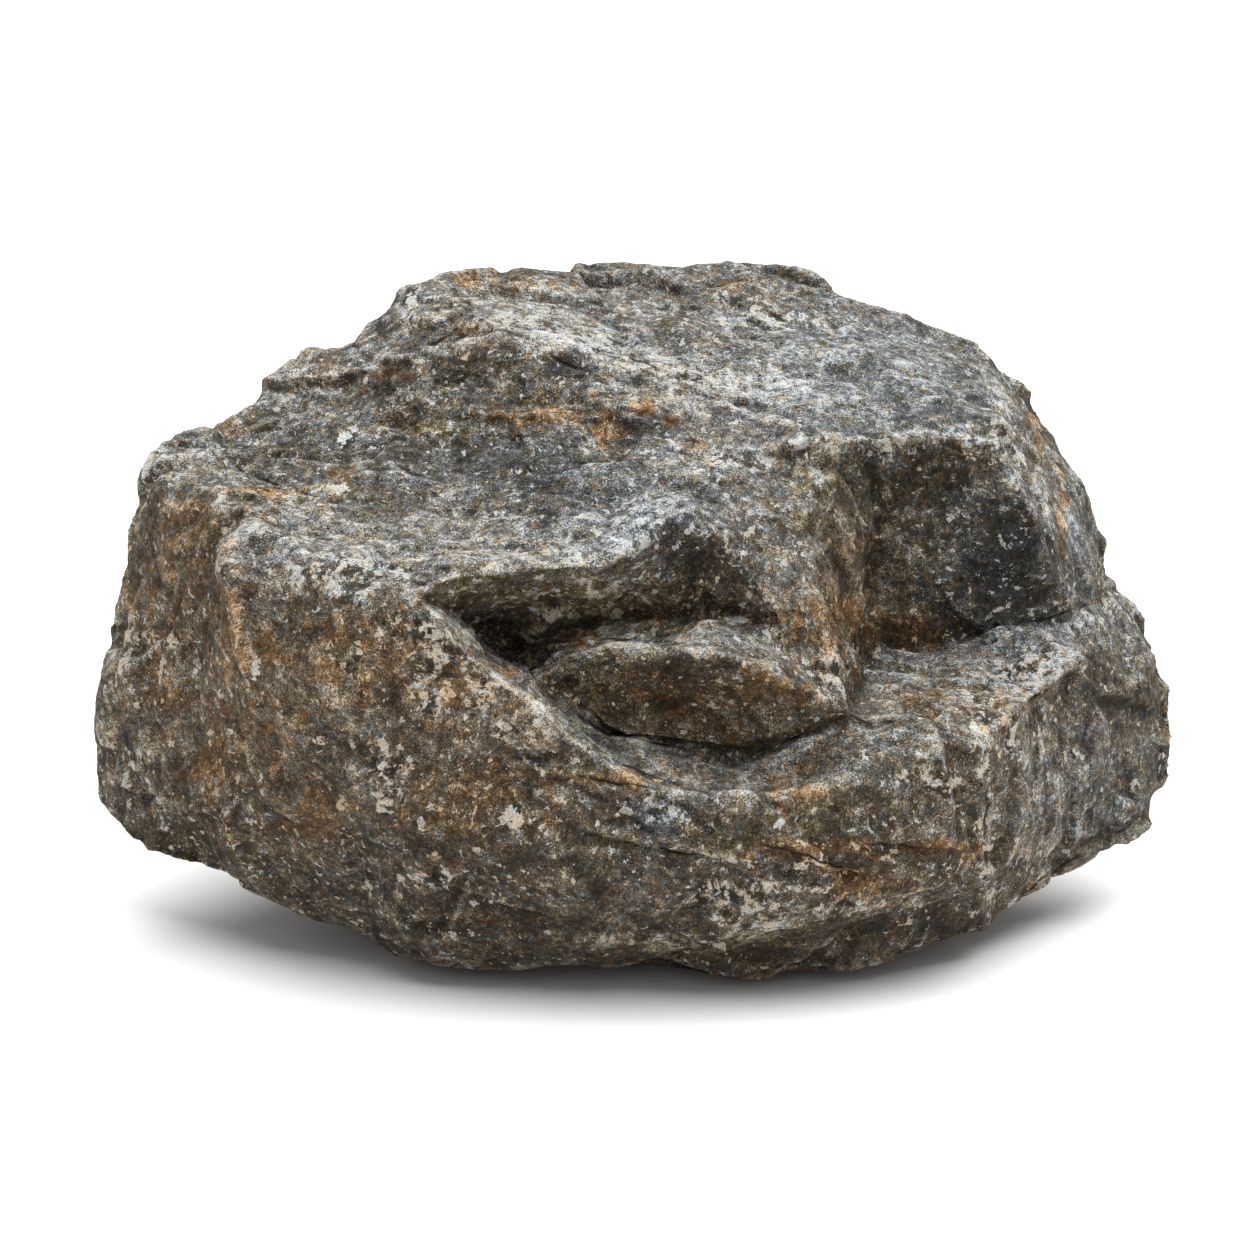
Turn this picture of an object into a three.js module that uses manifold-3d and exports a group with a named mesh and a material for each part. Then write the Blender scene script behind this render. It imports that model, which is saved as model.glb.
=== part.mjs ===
// A rough, unsliced stone, about 220 mm across, lying on its broadest worn face.
//
// The stone is one solid. Its broken edges are creases: rows of corners. Between the creases the faces
// are stretched like a film, then given a low, hackly relief that fades out at the creases, and the
// underside is worn flat where the stone rests.
//
// Frame: millimetres, +Z up, the front of the stone towards -Y, the origin on the ground below its
// middle. Creases of the front are read off a front drawing as [column, row, depth]: column and row are
// steps from the sheet's top left corner, and depth is the corner's own Y in millimetres. The drawing
// looks down on the stone a little. Creases of the back and underside are plain [x, y, z].

import * as THREE from 'three';
import { ConvexHull } from 'three/addons/math/ConvexHull.js';
import { ImprovedNoise } from 'three/addons/math/ImprovedNoise.js';
import { mergeVertices } from 'three/addons/utils/BufferGeometryUtils.js';
import Module from 'manifold-3d';

// Driving dimensions, in millimetres
const stoneWidth = 220;
const centreHeight = 59.5;
const eyeDistance = 800;
const groundDepth = 40;

// The skin: how far apart its corners stand, in millimetres
const outlineSpacing = 3.8;
const creaseSpacing = 4.4;
const facetSize = 8.6;
const coarseFacet = 40;
const facetStep = 0.75;

// How the skin is stretched and evened out
const stretchShare = 0.8;
const stretchRounds = 60;
const cornerRounding = 0.12;
const turnMargin = 0.02;
const turnPasses = 30;

// The relief, in millimetres. It is whole fullReliefRings corners away from a crease.
const reliefLayers = [
  { height: 3.2, length: 36, seed: 3.7 },
  { height: 1.9, length: 17, seed: 9.1 },
];
const meanFold = 0.4;
const creaseShare = 0.4;
const fullReliefRings = 3;
const backRoughness = 0.6;

// The front drawing, in its own steps
const sheetMiddle = 627;
const stoneWidthOnSheet = 1084;
const sheetStep = stoneWidth / stoneWidthOnSheet;
const drawingTilt = THREE.MathUtils.degToRad(16);

// ---------------------------------------------------------------- the outline, seen from the front

const outline = [
  // left end, going up
  [94, 787, -8], [97, 754, -8], [98, 733, -7], [93, 712, -6], [95, 700, -6], [100, 680, -6],
  [104, 645, -5], [108, 608, -4], [114, 583, -4], [121, 567, -3], [119, 543, -3], [123, 521, -2],
  [134, 494, -1], [136, 471, 0], [146, 453, 3], [168, 441, 6], [182, 431, 8],
  // left shoulder to the crown
  [198, 426, 10], [208, 424, 11], [217, 417, 12], [237, 411, 13], [248, 399, 14], [264, 377, 16],
  [280, 367, 17], [293, 359, 18], [299, 348, 19], [307, 343, 20], [322, 340, 21], [340, 342, 21],
  [352, 337, 22], [360, 327, 22], [371, 317, 23], [386, 310, 24], [392, 298, 25], [404, 286, 26],
  [416, 280, 27], [429, 278, 28], [439, 271, 29],
  // crown
  [450, 267, 30], [489, 267, 33], [524, 269, 36], [538, 273, 37], [548, 274, 38], [560, 270, 39],
  [580, 270, 40], [596, 265, 41], [620, 264, 42], [642, 268, 43], [675, 267, 44], [688, 262, 44],
  [720, 258, 45], [770, 259, 46], [787, 261, 46], [800, 266, 46], [818, 272, 46], [830, 282, 45],
  [838, 295, 44],
  // right shoulder
  [859, 302, 44], [874, 311, 43], [884, 317, 43], [902, 318, 42], [944, 326, 41], [962, 330, 40],
  [980, 340, 38], [990, 351, 36], [1001, 363, 34], [1016, 369, 33], [1027, 379, 32], [1032, 395, 31],
  [1034, 408, 30], [1046, 420, 29], [1054, 437, 28], [1058, 454, 27], [1072, 465, 27], [1082, 478, 26],
  [1090, 495, 26], [1099, 507, 25], [1105, 524, 25], [1106, 540, 24], [1102, 555, 22], [1109, 568, 21],
  [1115, 591, 19],
  // right end, going down
  [1131, 601, 18], [1143, 614, 18], [1148, 633, 17], [1159, 650, 16], [1162, 674, 14], [1172, 698, 12],
  [1178, 728, 9], [1176, 762, 7], [1172, 786, 5], [1164, 797, 4], [1154, 803, 3], [1150, 820, 1],
  [1143, 834, -1],
  // underneath, from right to left
  [1116, 851, -6], [1100, 864, -9], [1082, 876, -12], [1052, 886, -18], [1036, 897, -22],
  [1018, 905, -26], [1005, 918, -31], [990, 929, -35], [964, 938, -39], [928, 948, -42],
  [900, 957, -44], [864, 962, -46], [826, 966, -48], [799, 968, -49], [783, 973, -50], [765, 979, -51],
  [722, 979, -51], [709, 977, -51], [701, 972, -51], [686, 970, -50], [671, 963, -50], [646, 967, -50],
  [624, 971, -50], [600, 972, -50], [560, 970, -50], [547, 967, -50], [527, 970, -50], [466, 969, -49],
  [413, 969, -47], [398, 964, -45], [383, 955, -43], [377, 946, -41], [365, 936, -39], [347, 931, -37],
  [331, 924, -35], [308, 918, -33], [298, 911, -32], [265, 901, -29], [242, 895, -27], [224, 884, -25],
  [215, 879, -24], [185, 869, -21], [160, 856, -18], [139, 848, -16], [126, 837, -14], [118, 822, -12],
  [99, 800, -9],
];

// ---------------------------------------------------------------- creases of the front

const frontCreases = {
  // left shoulder and the bowl above it
  shoulderBrow: [[146, 453, 3], [172, 470, -10], [193, 481, -17], [224, 496, -25], [246, 508, -31],
    [282, 534, -39], [310, 562, -46], [345, 572, -50], [385, 588, -54], [421, 594, -56]],
  bowlFoot: [[217, 417, 12], [221, 435, 5], [226, 455, -1], [244, 475, -8], [275, 483, -14], [303, 493, -19],
    [339, 503, -24], [400, 522, -31], [470, 530, -36], [540, 528, -37], [600, 505, -33], [650, 482, -28],
    [700, 464, -23]],
  bowlMiddle: [[299, 348, 19], [330, 400, 6], [390, 440, -8], [450, 470, -18], [540, 480, -25],
    [610, 455, -22], [650, 430, -16]],
  // the crown
  peakFoot: [[352, 337, 22], [380, 339, 15], [412, 341, 9], [428, 345, 6], [450, 332, 7],
    [484, 318, 6]],
  peakRidge: [[439, 271, 29], [450, 291, 20], [466, 305, 13], [484, 318, 6]],
  peakSpur: [[404, 286, 26], [420, 303, 18], [430, 322, 11], [428, 345, 6]],
  bandLip: [[484, 318, 6], [520, 338, 1], [552, 350, -3], [580, 362, -5], [620, 380, -7], [680, 394, -9],
    [740, 405, -9]],
  bandFoot: [[484, 318, 6], [510, 350, -2], [548, 368, -6], [585, 384, -9], [628, 402, -12],
    [680, 418, -14], [740, 430, -16]],
  crownStep: [[548, 274, 38], [580, 292, 29], [625, 314, 20], [670, 330, 16], [730, 338, 16], [800, 332, 18]],
  bowlStep: [[384, 388, 4], [408, 412, -3], [434, 430, -8], [472, 446, -12], [510, 440, -13]],
  tableSwell: [[740, 405, -9], [820, 388, -3], [900, 380, 2], [970, 364, 22]],
  // the table's front edge and the faces under it
  tableEdge: [[700, 464, -23], [722, 456, -22], [760, 452, -21], [800, 441, -20], [830, 438, -18],
    [866, 441, -15], [897, 440, -15], [923, 431, -14], [944, 436, -15], [964, 452, -17],
    [982, 441, -15], [1002, 436, -14]],
  tableSide: [[1001, 363, 34], [988, 378, 18], [1003, 396, 6], [1002, 436, -14]],
  cornerEdge: [[1002, 436, -14], [1012, 465, -16], [1023, 497, -18], [1040, 520, -18],
    [1050, 550, -17], [1062, 585, -14], [1078, 611, -9]],
  flankFold: [[1001, 363, 34], [1018, 392, 20], [1034, 430, 12], [1052, 475, 7], [1072, 520, 5],
    [1092, 562, 6], [1115, 591, 19]],
  ribHead: [[688, 512, -41], [692, 490, -32], [700, 464, -23]],
  ribCrest: [[688, 512, -41], [722, 542, -42], [755, 580, -44], [781, 622, -46], [800, 650, -47],
    [822, 686, -49], [850, 714, -50]],
  ribSwell: [[800, 441, -20], [804, 500, -28], [812, 560, -35], [826, 620, -42], [840, 670, -47],
    [850, 714, -50]],
  valley: [[866, 441, -15], [868, 470, -12], [872, 510, -11], [873, 560, -12], [868, 610, -15],
    [862, 650, -21], [858, 690, -31]],
  ledgeInner: [[1115, 591, 19], [1100, 602, 6], [1078, 611, -9], [1050, 621, -13], [1010, 624, -14],
    [975, 634, -14], [936, 647, -14], [905, 646, -14], [885, 650, -16], [868, 668, -23],
    [858, 690, -31], [856, 703, -40], [850, 714, -50]],
  ledgeBrow: [[850, 714, -50], [880, 717, -50], [910, 727, -52], [942, 740, -54], [970, 746, -53],
    [986, 742, -51], [1005, 718, -44], [1030, 695, -36], [1058, 682, -30], [1066, 662, -23], [1086, 658, -18],
    [1108, 672, -12], [1135, 680, -3], [1150, 665, 7], [1159, 650, 16]],
  // the hollow under the lip
  lip: [[421, 594, -56], [436, 582, -55], [462, 577, -53], [500, 577, -52], [525, 573, -52],
    [545, 568, -52], [575, 567, -52], [603, 572, -52], [612, 568, -51], [625, 556, -49],
    [642, 541, -46], [656, 524, -44], [672, 516, -42], [688, 512, -41]],
  slabTop: [[545, 568, -52], [575, 540, -44], [605, 522, -38], [645, 498, -33], [692, 490, -32]],
  hollowFoot: [[421, 594, -56], [450, 612, -43], [476, 630, -35], [512, 646, -30], [545, 636, -27],
    [590, 622, -25], [640, 616, -25], [680, 614, -28], [720, 612, -33], [752, 616, -38], [781, 622, -46]],
  blockBrow: [[532, 680, -50], [556, 669, -50], [585, 657, -50], [612, 648, -50], [650, 652, -52],
    [690, 650, -54], [735, 659, -56], [775, 674, -57], [812, 694, -56], [850, 714, -50]],
  hollowSide: [[512, 646, -30], [519, 655, -37], [532, 680, -50]],
  blockBack: [[519, 655, -37], [560, 643, -39], [605, 640, -40], [650, 640, -41], [680, 624, -40],
    [704, 615, -38], [735, 626, -43], [770, 636, -46], [800, 650, -47]],
  blockFoot: [[532, 680, -50], [563, 697, -49], [588, 711, -47], [601, 730, -46], [650, 742, -45],
    [700, 749, -46], [740, 758, -48], [762, 750, -48], [782, 740, -49], [812, 730, -50], [850, 714, -50]],
  // the block on the left of the hollow
  leftRidge: [[421, 594, -56], [440, 620, -59], [470, 652, -61], [505, 684, -63], [540, 706, -64],
    [575, 740, -64], [610, 765, -64]],
  leftPost: [[246, 508, -31], [232, 540, -40], [236, 575, -45], [240, 620, -48], [248, 655, -50],
    [264, 684, -52], [290, 740, -54]],
  postHollow: [[256, 552, -39], [266, 592, -45], [280, 634, -49]],
  leftSwell: [[326, 600, -53], [338, 650, -57], [346, 710, -60], [352, 762, -61]],
  leftDish: [[194, 500, -20], [195, 560, -26], [198, 620, -30], [208, 680, -34]],
  leftFold: [[172, 470, -10], [158, 500, -12], [160, 545, -17], [160, 590, -19], [150, 640, -19]],
  leftFlank: [[104, 645, -5], [110, 668, -11], [114, 700, -15], [124, 742, -18], [136, 775, -20],
    [165, 803, -26], [218, 812, -37]],
  underBrow: [[218, 812, -37], [220, 835, -39], [227, 856, -38], [241, 880, -35], [265, 901, -29]],
  // the broad lower front
  belly: [[218, 812, -37], [270, 800, -46], [330, 806, -54], [400, 815, -61], [460, 830, -65],
    [560, 845, -68], [640, 848, -69], [720, 858, -68], [800, 852, -66], [880, 848, -61],
    [940, 848, -57], [987, 850, -51]],
  frontSwell: [[610, 765, -64], [660, 790, -64], [730, 800, -64], [810, 790, -62], [880, 785, -59],
    [940, 780, -55], [985, 785, -52]],
  skirt: [[383, 955, -43], [410, 945, -52], [470, 940, -56], [560, 944, -57], [630, 950, -56],
    [676, 940, -58], [720, 922, -62], [764, 912, -63], [800, 901, -63], [850, 893, -61], [905, 893, -57],
    [950, 888, -52], [990, 880, -47]],
  skirtFold: [[676, 940, -58], [716, 932, -59], [770, 926, -59], [812, 931, -57], [836, 938, -53],
    [872, 916, -55], [920, 906, -50], [987, 902, -41]],
  cornerPost: [[986, 742, -51], [989, 760, -52], [985, 785, -52], [988, 820, -52], [987, 850, -51],
    [990, 880, -47], [987, 902, -41], [990, 929, -35]],
  underRight: [[1150, 820, 1], [1118, 826, -8], [1096, 843, -14], [1070, 856, -20], [1045, 872, -26],
    [1022, 890, -32], [1005, 918, -31]],
};

// ---------------------------------------------------------------- creases of the back and underside

const backCreases = {
  backRidge: [[-96, 14, 60], [-84, 27, 77], [-70, 38, 82], [-52, 44, 96], [-30, 54, 97], [-8, 57, 108],
    [14, 64, 105], [34, 63, 110], [52, 62, 101], [66, 54, 97], [80, 44, 82], [92, 30, 63]],
  backStep: [[-62, 50, 71], [-36, 62, 78], [-10, 70, 74], [16, 76, 81], [38, 78, 75], [62, 64, 72]],
  backBelt: [[-96, 8, 42], [-82, 32, 50], [-62, 50, 44], [-46, 60, 52], [-22, 62, 45], [-8, 72, 56],
    [14, 72, 50], [30, 79, 58], [50, 68, 47], [66, 62, 53], [82, 44, 44], [96, 22, 40]],
  backRib: [[-52, 44, 96], [-62, 50, 71], [-62, 50, 44], [-50, 46, 17]],
  middleRib: [[-8, 57, 108], [-10, 70, 74], [-8, 72, 56], [4, 62, 22]],
  farRib: [[52, 62, 101], [38, 78, 75], [50, 68, 47], [42, 60, 16]],
  backFoot: [[-76, 4, 24], [-62, 28, 15], [-50, 46, 17], [-28, 52, 9], [4, 62, 22], [24, 58, 8],
    [42, 60, 16], [62, 42, 12], [82, 18, 20]],
};

const restRing = [[-44, -25, -2], [-50, -6, -2], [-42, 18, -2], [-20, 36, -2], [10, 42, -2], [38, 36, -2],
  [54, 14, -2], [52, -12, -2], [30, -26, -2], [-8, -28, -2]];

// ---------------------------------------------------------------- the drawing

const across = new THREE.Vector3(1, 0, 0);
const upSheet = new THREE.Vector3(0, Math.sin(drawingTilt), Math.cos(drawingTilt));
const away = new THREE.Vector3(0, Math.cos(drawingTilt), -Math.sin(drawingTilt));
const sheetCentre = new THREE.Vector3(0, 0, centreHeight);
const eye = sheetCentre.clone().addScaledVector(away, -eyeDistance);

function fromDrawing([column, row, depth]) {
  const ray = sheetCentre.clone()
    .addScaledVector(across, (column - sheetMiddle) * sheetStep)
    .addScaledVector(upSheet, (sheetMiddle - row) * sheetStep)
    .sub(eye);
  return eye.clone().addScaledVector(ray, (depth - eye.y) / ray.y);
}

function toDrawing(point) {
  const ray = point.clone().sub(eye);
  const shrink = eyeDistance / ray.dot(away);
  return new THREE.Vector2(ray.dot(across) * shrink, ray.dot(upSheet) * shrink);
}

// ---------------------------------------------------------------- corners and segments

// Corners that lie at the same place are one vertex.
const vertices = [];
const vertexAt = new Map();

function vertexOf(point) {
  const key = point.toArray().map((value) => value.toFixed(3)).join();
  if (!vertexAt.has(key)) {
    vertexAt.set(key, vertices.length);
    vertices.push({ point, flat: toDrawing(point) });
  }
  return vertexAt.get(key);
}

// A row of corners, as vertices at most `spacing` apart.
function walk(corners, spacing) {
  const row = [vertexOf(corners[0])];
  for (let i = 1; i < corners.length; i++) {
    const pieces = Math.max(1, Math.round(corners[i].distanceTo(corners[i - 1]) / spacing));
    for (let k = 1; k <= pieces; k++) {
      row.push(vertexOf(corners[i - 1].clone().lerp(corners[i], k / pieces)));
    }
  }
  return row;
}

const segmentsOf = (row) => row.slice(1).map((vertex, i) => [row[i], vertex]);
const edgeKey = (a, b) => (a < b ? `${a},${b}` : `${b},${a}`);

// ---------------------------------------------------------------- one sheet of triangles

// Delaunay triangles of vertices on the drawing: the lower hull of the points lifted onto a paraboloid.
function delaunay(members) {
  const lifted = members.map((vertex) => {
    const { x, y } = vertices[vertex].flat;
    const point = new THREE.Vector3(x, y, (x * x + y * y) / stoneWidth);
    point.vertex = vertex;
    return point;
  });
  return new ConvexHull().setFromPoints(lifted).faces
    .filter((face) => face.normal.z < 0)
    .map((face) => [face.edge, face.edge.next, face.edge.next.next].map((edge) => edge.head().point.vertex));
}

function isInside(place, loop) {
  let inside = false;
  for (let i = 0, j = loop.length - 1; i < loop.length; j = i++) {
    const a = vertices[loop[i]].flat;
    const b = vertices[loop[j]].flat;
    if (a.y > place.y !== b.y > place.y && place.x < ((b.x - a.x) * (place.y - a.y)) / (b.y - a.y) + a.x) {
      inside = !inside;
    }
  }
  return inside;
}

// Triangles inside the outline whose edges follow every crease: a crease edge that is missing is halved.
function sheet(rim, creases) {
  let segments = creases.flatMap((row) => segmentsOf(row));
  for (;;) {
    const faces = delaunay([...new Set([...rim, ...segments.flat()])]);
    const edges = new Set(faces.flatMap(([a, b, c]) => [edgeKey(a, b), edgeKey(b, c), edgeKey(c, a)]));
    const missing = segments.filter(([a, b]) => a !== b && !edges.has(edgeKey(a, b)));
    if (!missing.length) {
      const middle = ([a, b, c]) => vertices[a].flat.clone().add(vertices[b].flat).add(vertices[c].flat)
        .divideScalar(3);
      return { faces: faces.filter((face) => isInside(middle(face), rim)), segments };
    }
    const halved = new Set(missing);
    segments = segments.flatMap((segment) => {
      if (!halved.has(segment)) return [segment];
      const [a, b] = segment;
      const half = vertexOf(vertices[a].point.clone().lerp(vertices[b].point, 0.5));
      return [[a, half], [half, b]];
    });
  }
}

// The outline is one smooth closed curve through its corners.
function walkOutline(corners, spacing) {
  const curve = new THREE.CatmullRomCurve3(corners, true, 'centripetal');
  return corners.flatMap((corner, i) => {
    const next = corners[(i + 1) % corners.length];
    const pieces = Math.max(1, Math.round(corner.distanceTo(next) / spacing));
    const shareAt = (k) => (i + k / pieces) / corners.length;
    return Array.from({ length: pieces }, (_, k) => vertexOf(curve.getPoint(shareAt(k))));
  });
}

const asPoint = (xyz) => new THREE.Vector3(...xyz);
const rim = walkOutline(outline.map(fromDrawing), outlineSpacing);
const frontRows = Object.values(frontCreases).map((row) => walk(row.map(fromDrawing), creaseSpacing));
const backRows = [...Object.values(backCreases), [...restRing, restRing[0]]]
  .map((row) => walk(row.map(asPoint), creaseSpacing));
const front = sheet(rim, frontRows);
const back = sheet(rim, backRows);
const creaseSegments = [...front.segments, ...back.segments];
const held = new Set([...rim, ...creaseSegments.flat()]);
const rimSegments = segmentsOf([...rim, rim[0]]);
const heldEdges = new Set([...rimSegments, ...creaseSegments].map(([a, b]) => edgeKey(a, b)));

// ---------------------------------------------------------------- an even skin over the creases

const pointsOf = (members) => members.map((vertex) => vertices[vertex].point);
const gapBetween = (a, b) => vertices[a].point.distanceTo(vertices[b].point);
const sidesOf = ([a, b, c]) => [[a, b], [b, c], [c, a]];

// The face cut along the halves of its sides.
function split([a, b, c], halfOf) {
  const [ab, bc, ca] = sidesOf([a, b, c]).map(([from, to]) => halfOf.get(edgeKey(from, to)));
  const count = [ab, bc, ca].filter((half) => half !== undefined).length;
  if (count === 0) return [[a, b, c]];
  if (count === 3) return [[a, ab, ca], [ab, b, bc], [ca, bc, c], [ab, bc, ca]];
  if (ab === undefined) return split([b, c, a], halfOf);
  if (count === 1) return [[a, ab, c], [ab, b, c]];
  if (bc === undefined) return split([c, a, b], halfOf);
  return gapBetween(a, bc) < gapBetween(ab, c)
    ? [[ab, b, bc], [a, ab, bc], [a, bc, c]]
    : [[ab, b, bc], [a, ab, c], [ab, bc, c]];
}

// Halves every side longer than `longest`, until none is left.
function refine(faces, longest) {
  for (;;) {
    const halfOf = new Map();
    for (const [from, to] of faces.flatMap(sidesOf)) {
      if (gapBetween(from, to) > longest && !halfOf.has(edgeKey(from, to))) {
        halfOf.set(edgeKey(from, to), vertices.length);
        vertices.push({ point: vertices[from].point.clone().lerp(vertices[to].point, 0.5) });
      }
    }
    if (!halfOf.size) return faces;
    faces = faces.flatMap((face) => split(face, halfOf));
  }
}

function angleAt(corner, from, to) {
  const [apex, a, b] = pointsOf([corner, from, to]);
  return a.clone().sub(apex).angleTo(b.clone().sub(apex));
}

const normalOf = (face) => new THREE.Triangle(...pointsOf(face)).getNormal(new THREE.Vector3());

// Turns the shared side of two faces where that makes them less pointed. Creases are never turned.
function turnSides(faces) {
  const result = [...faces];
  const facesAt = new Map();
  result.forEach((face, index) => {
    for (const [from, to] of sidesOf(face)) {
      const key = edgeKey(from, to);
      facesAt.set(key, { from, to, at: [...(facesAt.get(key)?.at ?? []), index] });
    }
  });
  const touched = new Set();
  for (const [key, { from, to, at: [one, other] }] of facesAt) {
    if (other === undefined || heldEdges.has(key) || touched.has(one) || touched.has(other)) continue;
    const top = result[one].find((vertex) => vertex !== from && vertex !== to);
    const foot = result[other].find((vertex) => vertex !== from && vertex !== to);
    if (facesAt.has(edgeKey(top, foot))) continue;
    if (angleAt(top, from, to) + angleAt(foot, from, to) < Math.PI + turnMargin) continue;
    const start = result[one].indexOf(top);
    const second = result[one][(start + 1) % 3];
    const third = result[one][(start + 2) % 3];
    const pair = [[top, second, foot], [top, foot, third]];
    const before = normalOf(result[one]).add(normalOf(result[other]));
    if (pair.some((face) => normalOf(face).dot(before) < 0)) continue;
    facesAt.set(edgeKey(top, foot), { at: [] });
    [result[one], result[other]] = pair;
    touched.add(one).add(other);
  }
  return { faces: result, turns: touched.size };
}

function even(faces) {
  for (let pass = 0; pass < turnPasses; pass++) {
    const round = turnSides(faces);
    faces = round.faces;
    if (!round.turns) break;
  }
  return faces;
}

let faces = even([...front.faces.map(([a, b, c]) => [a, c, b]), ...back.faces]);
for (let longest = coarseFacet; longest > facetSize; longest *= facetStep) {
  faces = even(refine(faces, longest));
}
faces = even(refine(faces, facetSize));

const neighbours = new Map();
for (const [from, to] of faces.flatMap(sidesOf)) {
  for (const [vertex, other] of [[from, to], [to, from]]) {
    if (!neighbours.has(vertex)) neighbours.set(vertex, new Set());
    neighbours.get(vertex).add(other);
  }
}
const used = [...neighbours.keys()];

// Moves vertices a share of the way to the middle of their neighbours.
function ease(members, share, rounds) {
  for (let round = 0; round < rounds; round++) {
    const eased = members.map((vertex) => {
      const around = pointsOf([...neighbours.get(vertex)]);
      const middle = around.reduce((sum, point) => sum.add(point), new THREE.Vector3());
      return vertices[vertex].point.clone().lerp(middle.divideScalar(around.length), share);
    });
    members.forEach((vertex, i) => { vertices[vertex].point = eased[i]; });
  }
}

ease(used.filter((vertex) => !held.has(vertex)), stretchShare, stretchRounds);

// ---------------------------------------------------------------- broken relief

const noise = new ImprovedNoise();

// Folding the noise at zero turns its swells into flats that meet in sharp valleys.
function relief(point) {
  return reliefLayers.reduce((sum, { height, length, seed }) => {
    const { x, y, z } = point.clone().divideScalar(length);
    return sum + height * (2 * Math.abs(noise.noise(x + seed, y, z)) - meanFold);
  }, 0);
}

// How many sides lie between each vertex and the nearest crease.
const ringsAway = new Map([...held].map((vertex) => [vertex, 0]));
for (let queue = [...held]; queue.length;) {
  const vertex = queue.shift();
  for (const other of neighbours.get(vertex)) {
    if (!ringsAway.has(other)) {
      ringsAway.set(other, ringsAway.get(vertex) + 1);
      queue.push(other);
    }
  }
}

const normals = new Map(used.map((vertex) => [vertex, new THREE.Vector3()]));
for (const face of faces) {
  const normal = normalOf(face);
  for (const vertex of face) normals.get(vertex).add(normal);
}
for (const [vertex, normal] of normals) {
  normal.normalize();
  const nearness = Math.min(1, (creaseShare + ringsAway.get(vertex)) / fullReliefRings);
  const roughness = 1 + backRoughness * Math.max(0, normal.y);
  normal.multiplyScalar(nearness * roughness * relief(vertices[vertex].point));
}
for (const [vertex, lift] of normals) vertices[vertex].point.add(lift);
ease(used, cornerRounding, 1);

// ---------------------------------------------------------------- the solid

const wasm = await Module();
wasm.setup();

const solidOf = (positions, corners) => new wasm.Manifold(new wasm.Mesh({
  numProp: 3,
  vertProperties: new Float32Array(positions),
  triVerts: new Uint32Array(corners),
}));

const order = new Map(used.map((vertex, i) => [vertex, i]));
const whole = solidOf(
  pointsOf(used).flatMap((point) => point.toArray()),
  faces.flat().map((vertex) => order.get(vertex)),
);

const block = new THREE.BoxGeometry(2 * stoneWidth, 2 * stoneWidth, groundDepth)
  .translate(0, 0, -groundDepth / 2)
  .deleteAttribute('normal')
  .deleteAttribute('uv');
const ground = mergeVertices(block);
const worn = whole.subtract(solidOf(ground.attributes.position.array, ground.index.array)).getMesh();

const stoneGeometry = new THREE.BufferGeometry()
  .setAttribute('position', new THREE.BufferAttribute(worn.vertProperties, 3))
  .setIndex(new THREE.BufferAttribute(worn.triVerts, 1));
stoneGeometry.computeVertexNormals();

const stone = new THREE.Mesh(stoneGeometry, new THREE.MeshStandardMaterial({
  color: 0x5d574f,
  roughness: 0.85,
  metalness: 0,
}));
stone.name = 'stone';

const part = new THREE.Group();
part.name = 'rough stone';
part.add(stone);

export default part;
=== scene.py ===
import math
import bpy
import bmesh
import numpy as np
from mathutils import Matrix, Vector


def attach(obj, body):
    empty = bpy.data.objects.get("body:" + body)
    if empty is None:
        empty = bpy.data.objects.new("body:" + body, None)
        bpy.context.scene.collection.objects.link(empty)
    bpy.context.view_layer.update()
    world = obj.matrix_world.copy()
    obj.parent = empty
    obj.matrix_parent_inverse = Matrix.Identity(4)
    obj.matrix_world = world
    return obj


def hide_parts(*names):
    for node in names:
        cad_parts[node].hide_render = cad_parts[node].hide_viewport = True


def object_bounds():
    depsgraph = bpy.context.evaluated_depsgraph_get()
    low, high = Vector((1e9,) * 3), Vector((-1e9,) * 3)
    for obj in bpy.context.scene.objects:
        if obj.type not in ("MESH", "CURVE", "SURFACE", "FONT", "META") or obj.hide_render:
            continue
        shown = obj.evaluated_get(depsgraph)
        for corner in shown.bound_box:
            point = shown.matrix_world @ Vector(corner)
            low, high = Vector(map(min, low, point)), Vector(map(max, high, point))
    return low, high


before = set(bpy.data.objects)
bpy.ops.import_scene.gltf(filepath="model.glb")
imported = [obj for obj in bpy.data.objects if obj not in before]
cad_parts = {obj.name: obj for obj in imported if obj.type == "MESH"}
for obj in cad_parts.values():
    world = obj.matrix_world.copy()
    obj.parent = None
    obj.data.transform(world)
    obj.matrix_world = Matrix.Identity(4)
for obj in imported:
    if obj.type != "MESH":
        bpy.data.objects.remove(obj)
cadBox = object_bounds()
print("frame loaded")

# The view: the stone seen from the front, looking down a little.
viewValues = {
    "target": (0.0, 0.0, 0.0595),
    "elevation": 16.0,        # degrees above the ground
    "distance": 0.8,
    "widthShown": 0.2545,     # metres across the frame, at the target
    "sheetSide": 1254,        # steps across the front drawing, which fills the frame
    "sensorWidth": 36.0,
    "grazing": (0.06, 0.26),  # marks of the front fade where the surface is this near to edge-on
}

stepSize = 1000 * viewValues["widthShown"] / viewValues["sheetSide"]   # millimetres


def viewAxes():
    tilt = math.radians(viewValues["elevation"])
    away = Vector((0.0, math.cos(tilt), -math.sin(tilt)))
    up = Vector((0.0, math.sin(tilt), math.cos(tilt)))
    return away, up, Vector(viewValues["target"]) - away * viewValues["distance"]


def makeCamera():
    away, up, eye = viewAxes()
    data = bpy.data.cameras.new("camera")
    data.sensor_width = viewValues["sensorWidth"]
    data.lens = data.sensor_width * viewValues["distance"] / viewValues["widthShown"]
    data.clip_start = 0.01
    camera = bpy.data.objects.new("camera", data)
    camera.location = eye
    camera.rotation_euler = away.to_track_quat("-Z", "Y").to_euler()
    bpy.context.collection.objects.link(camera)
    bpy.context.scene.camera = camera


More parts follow.
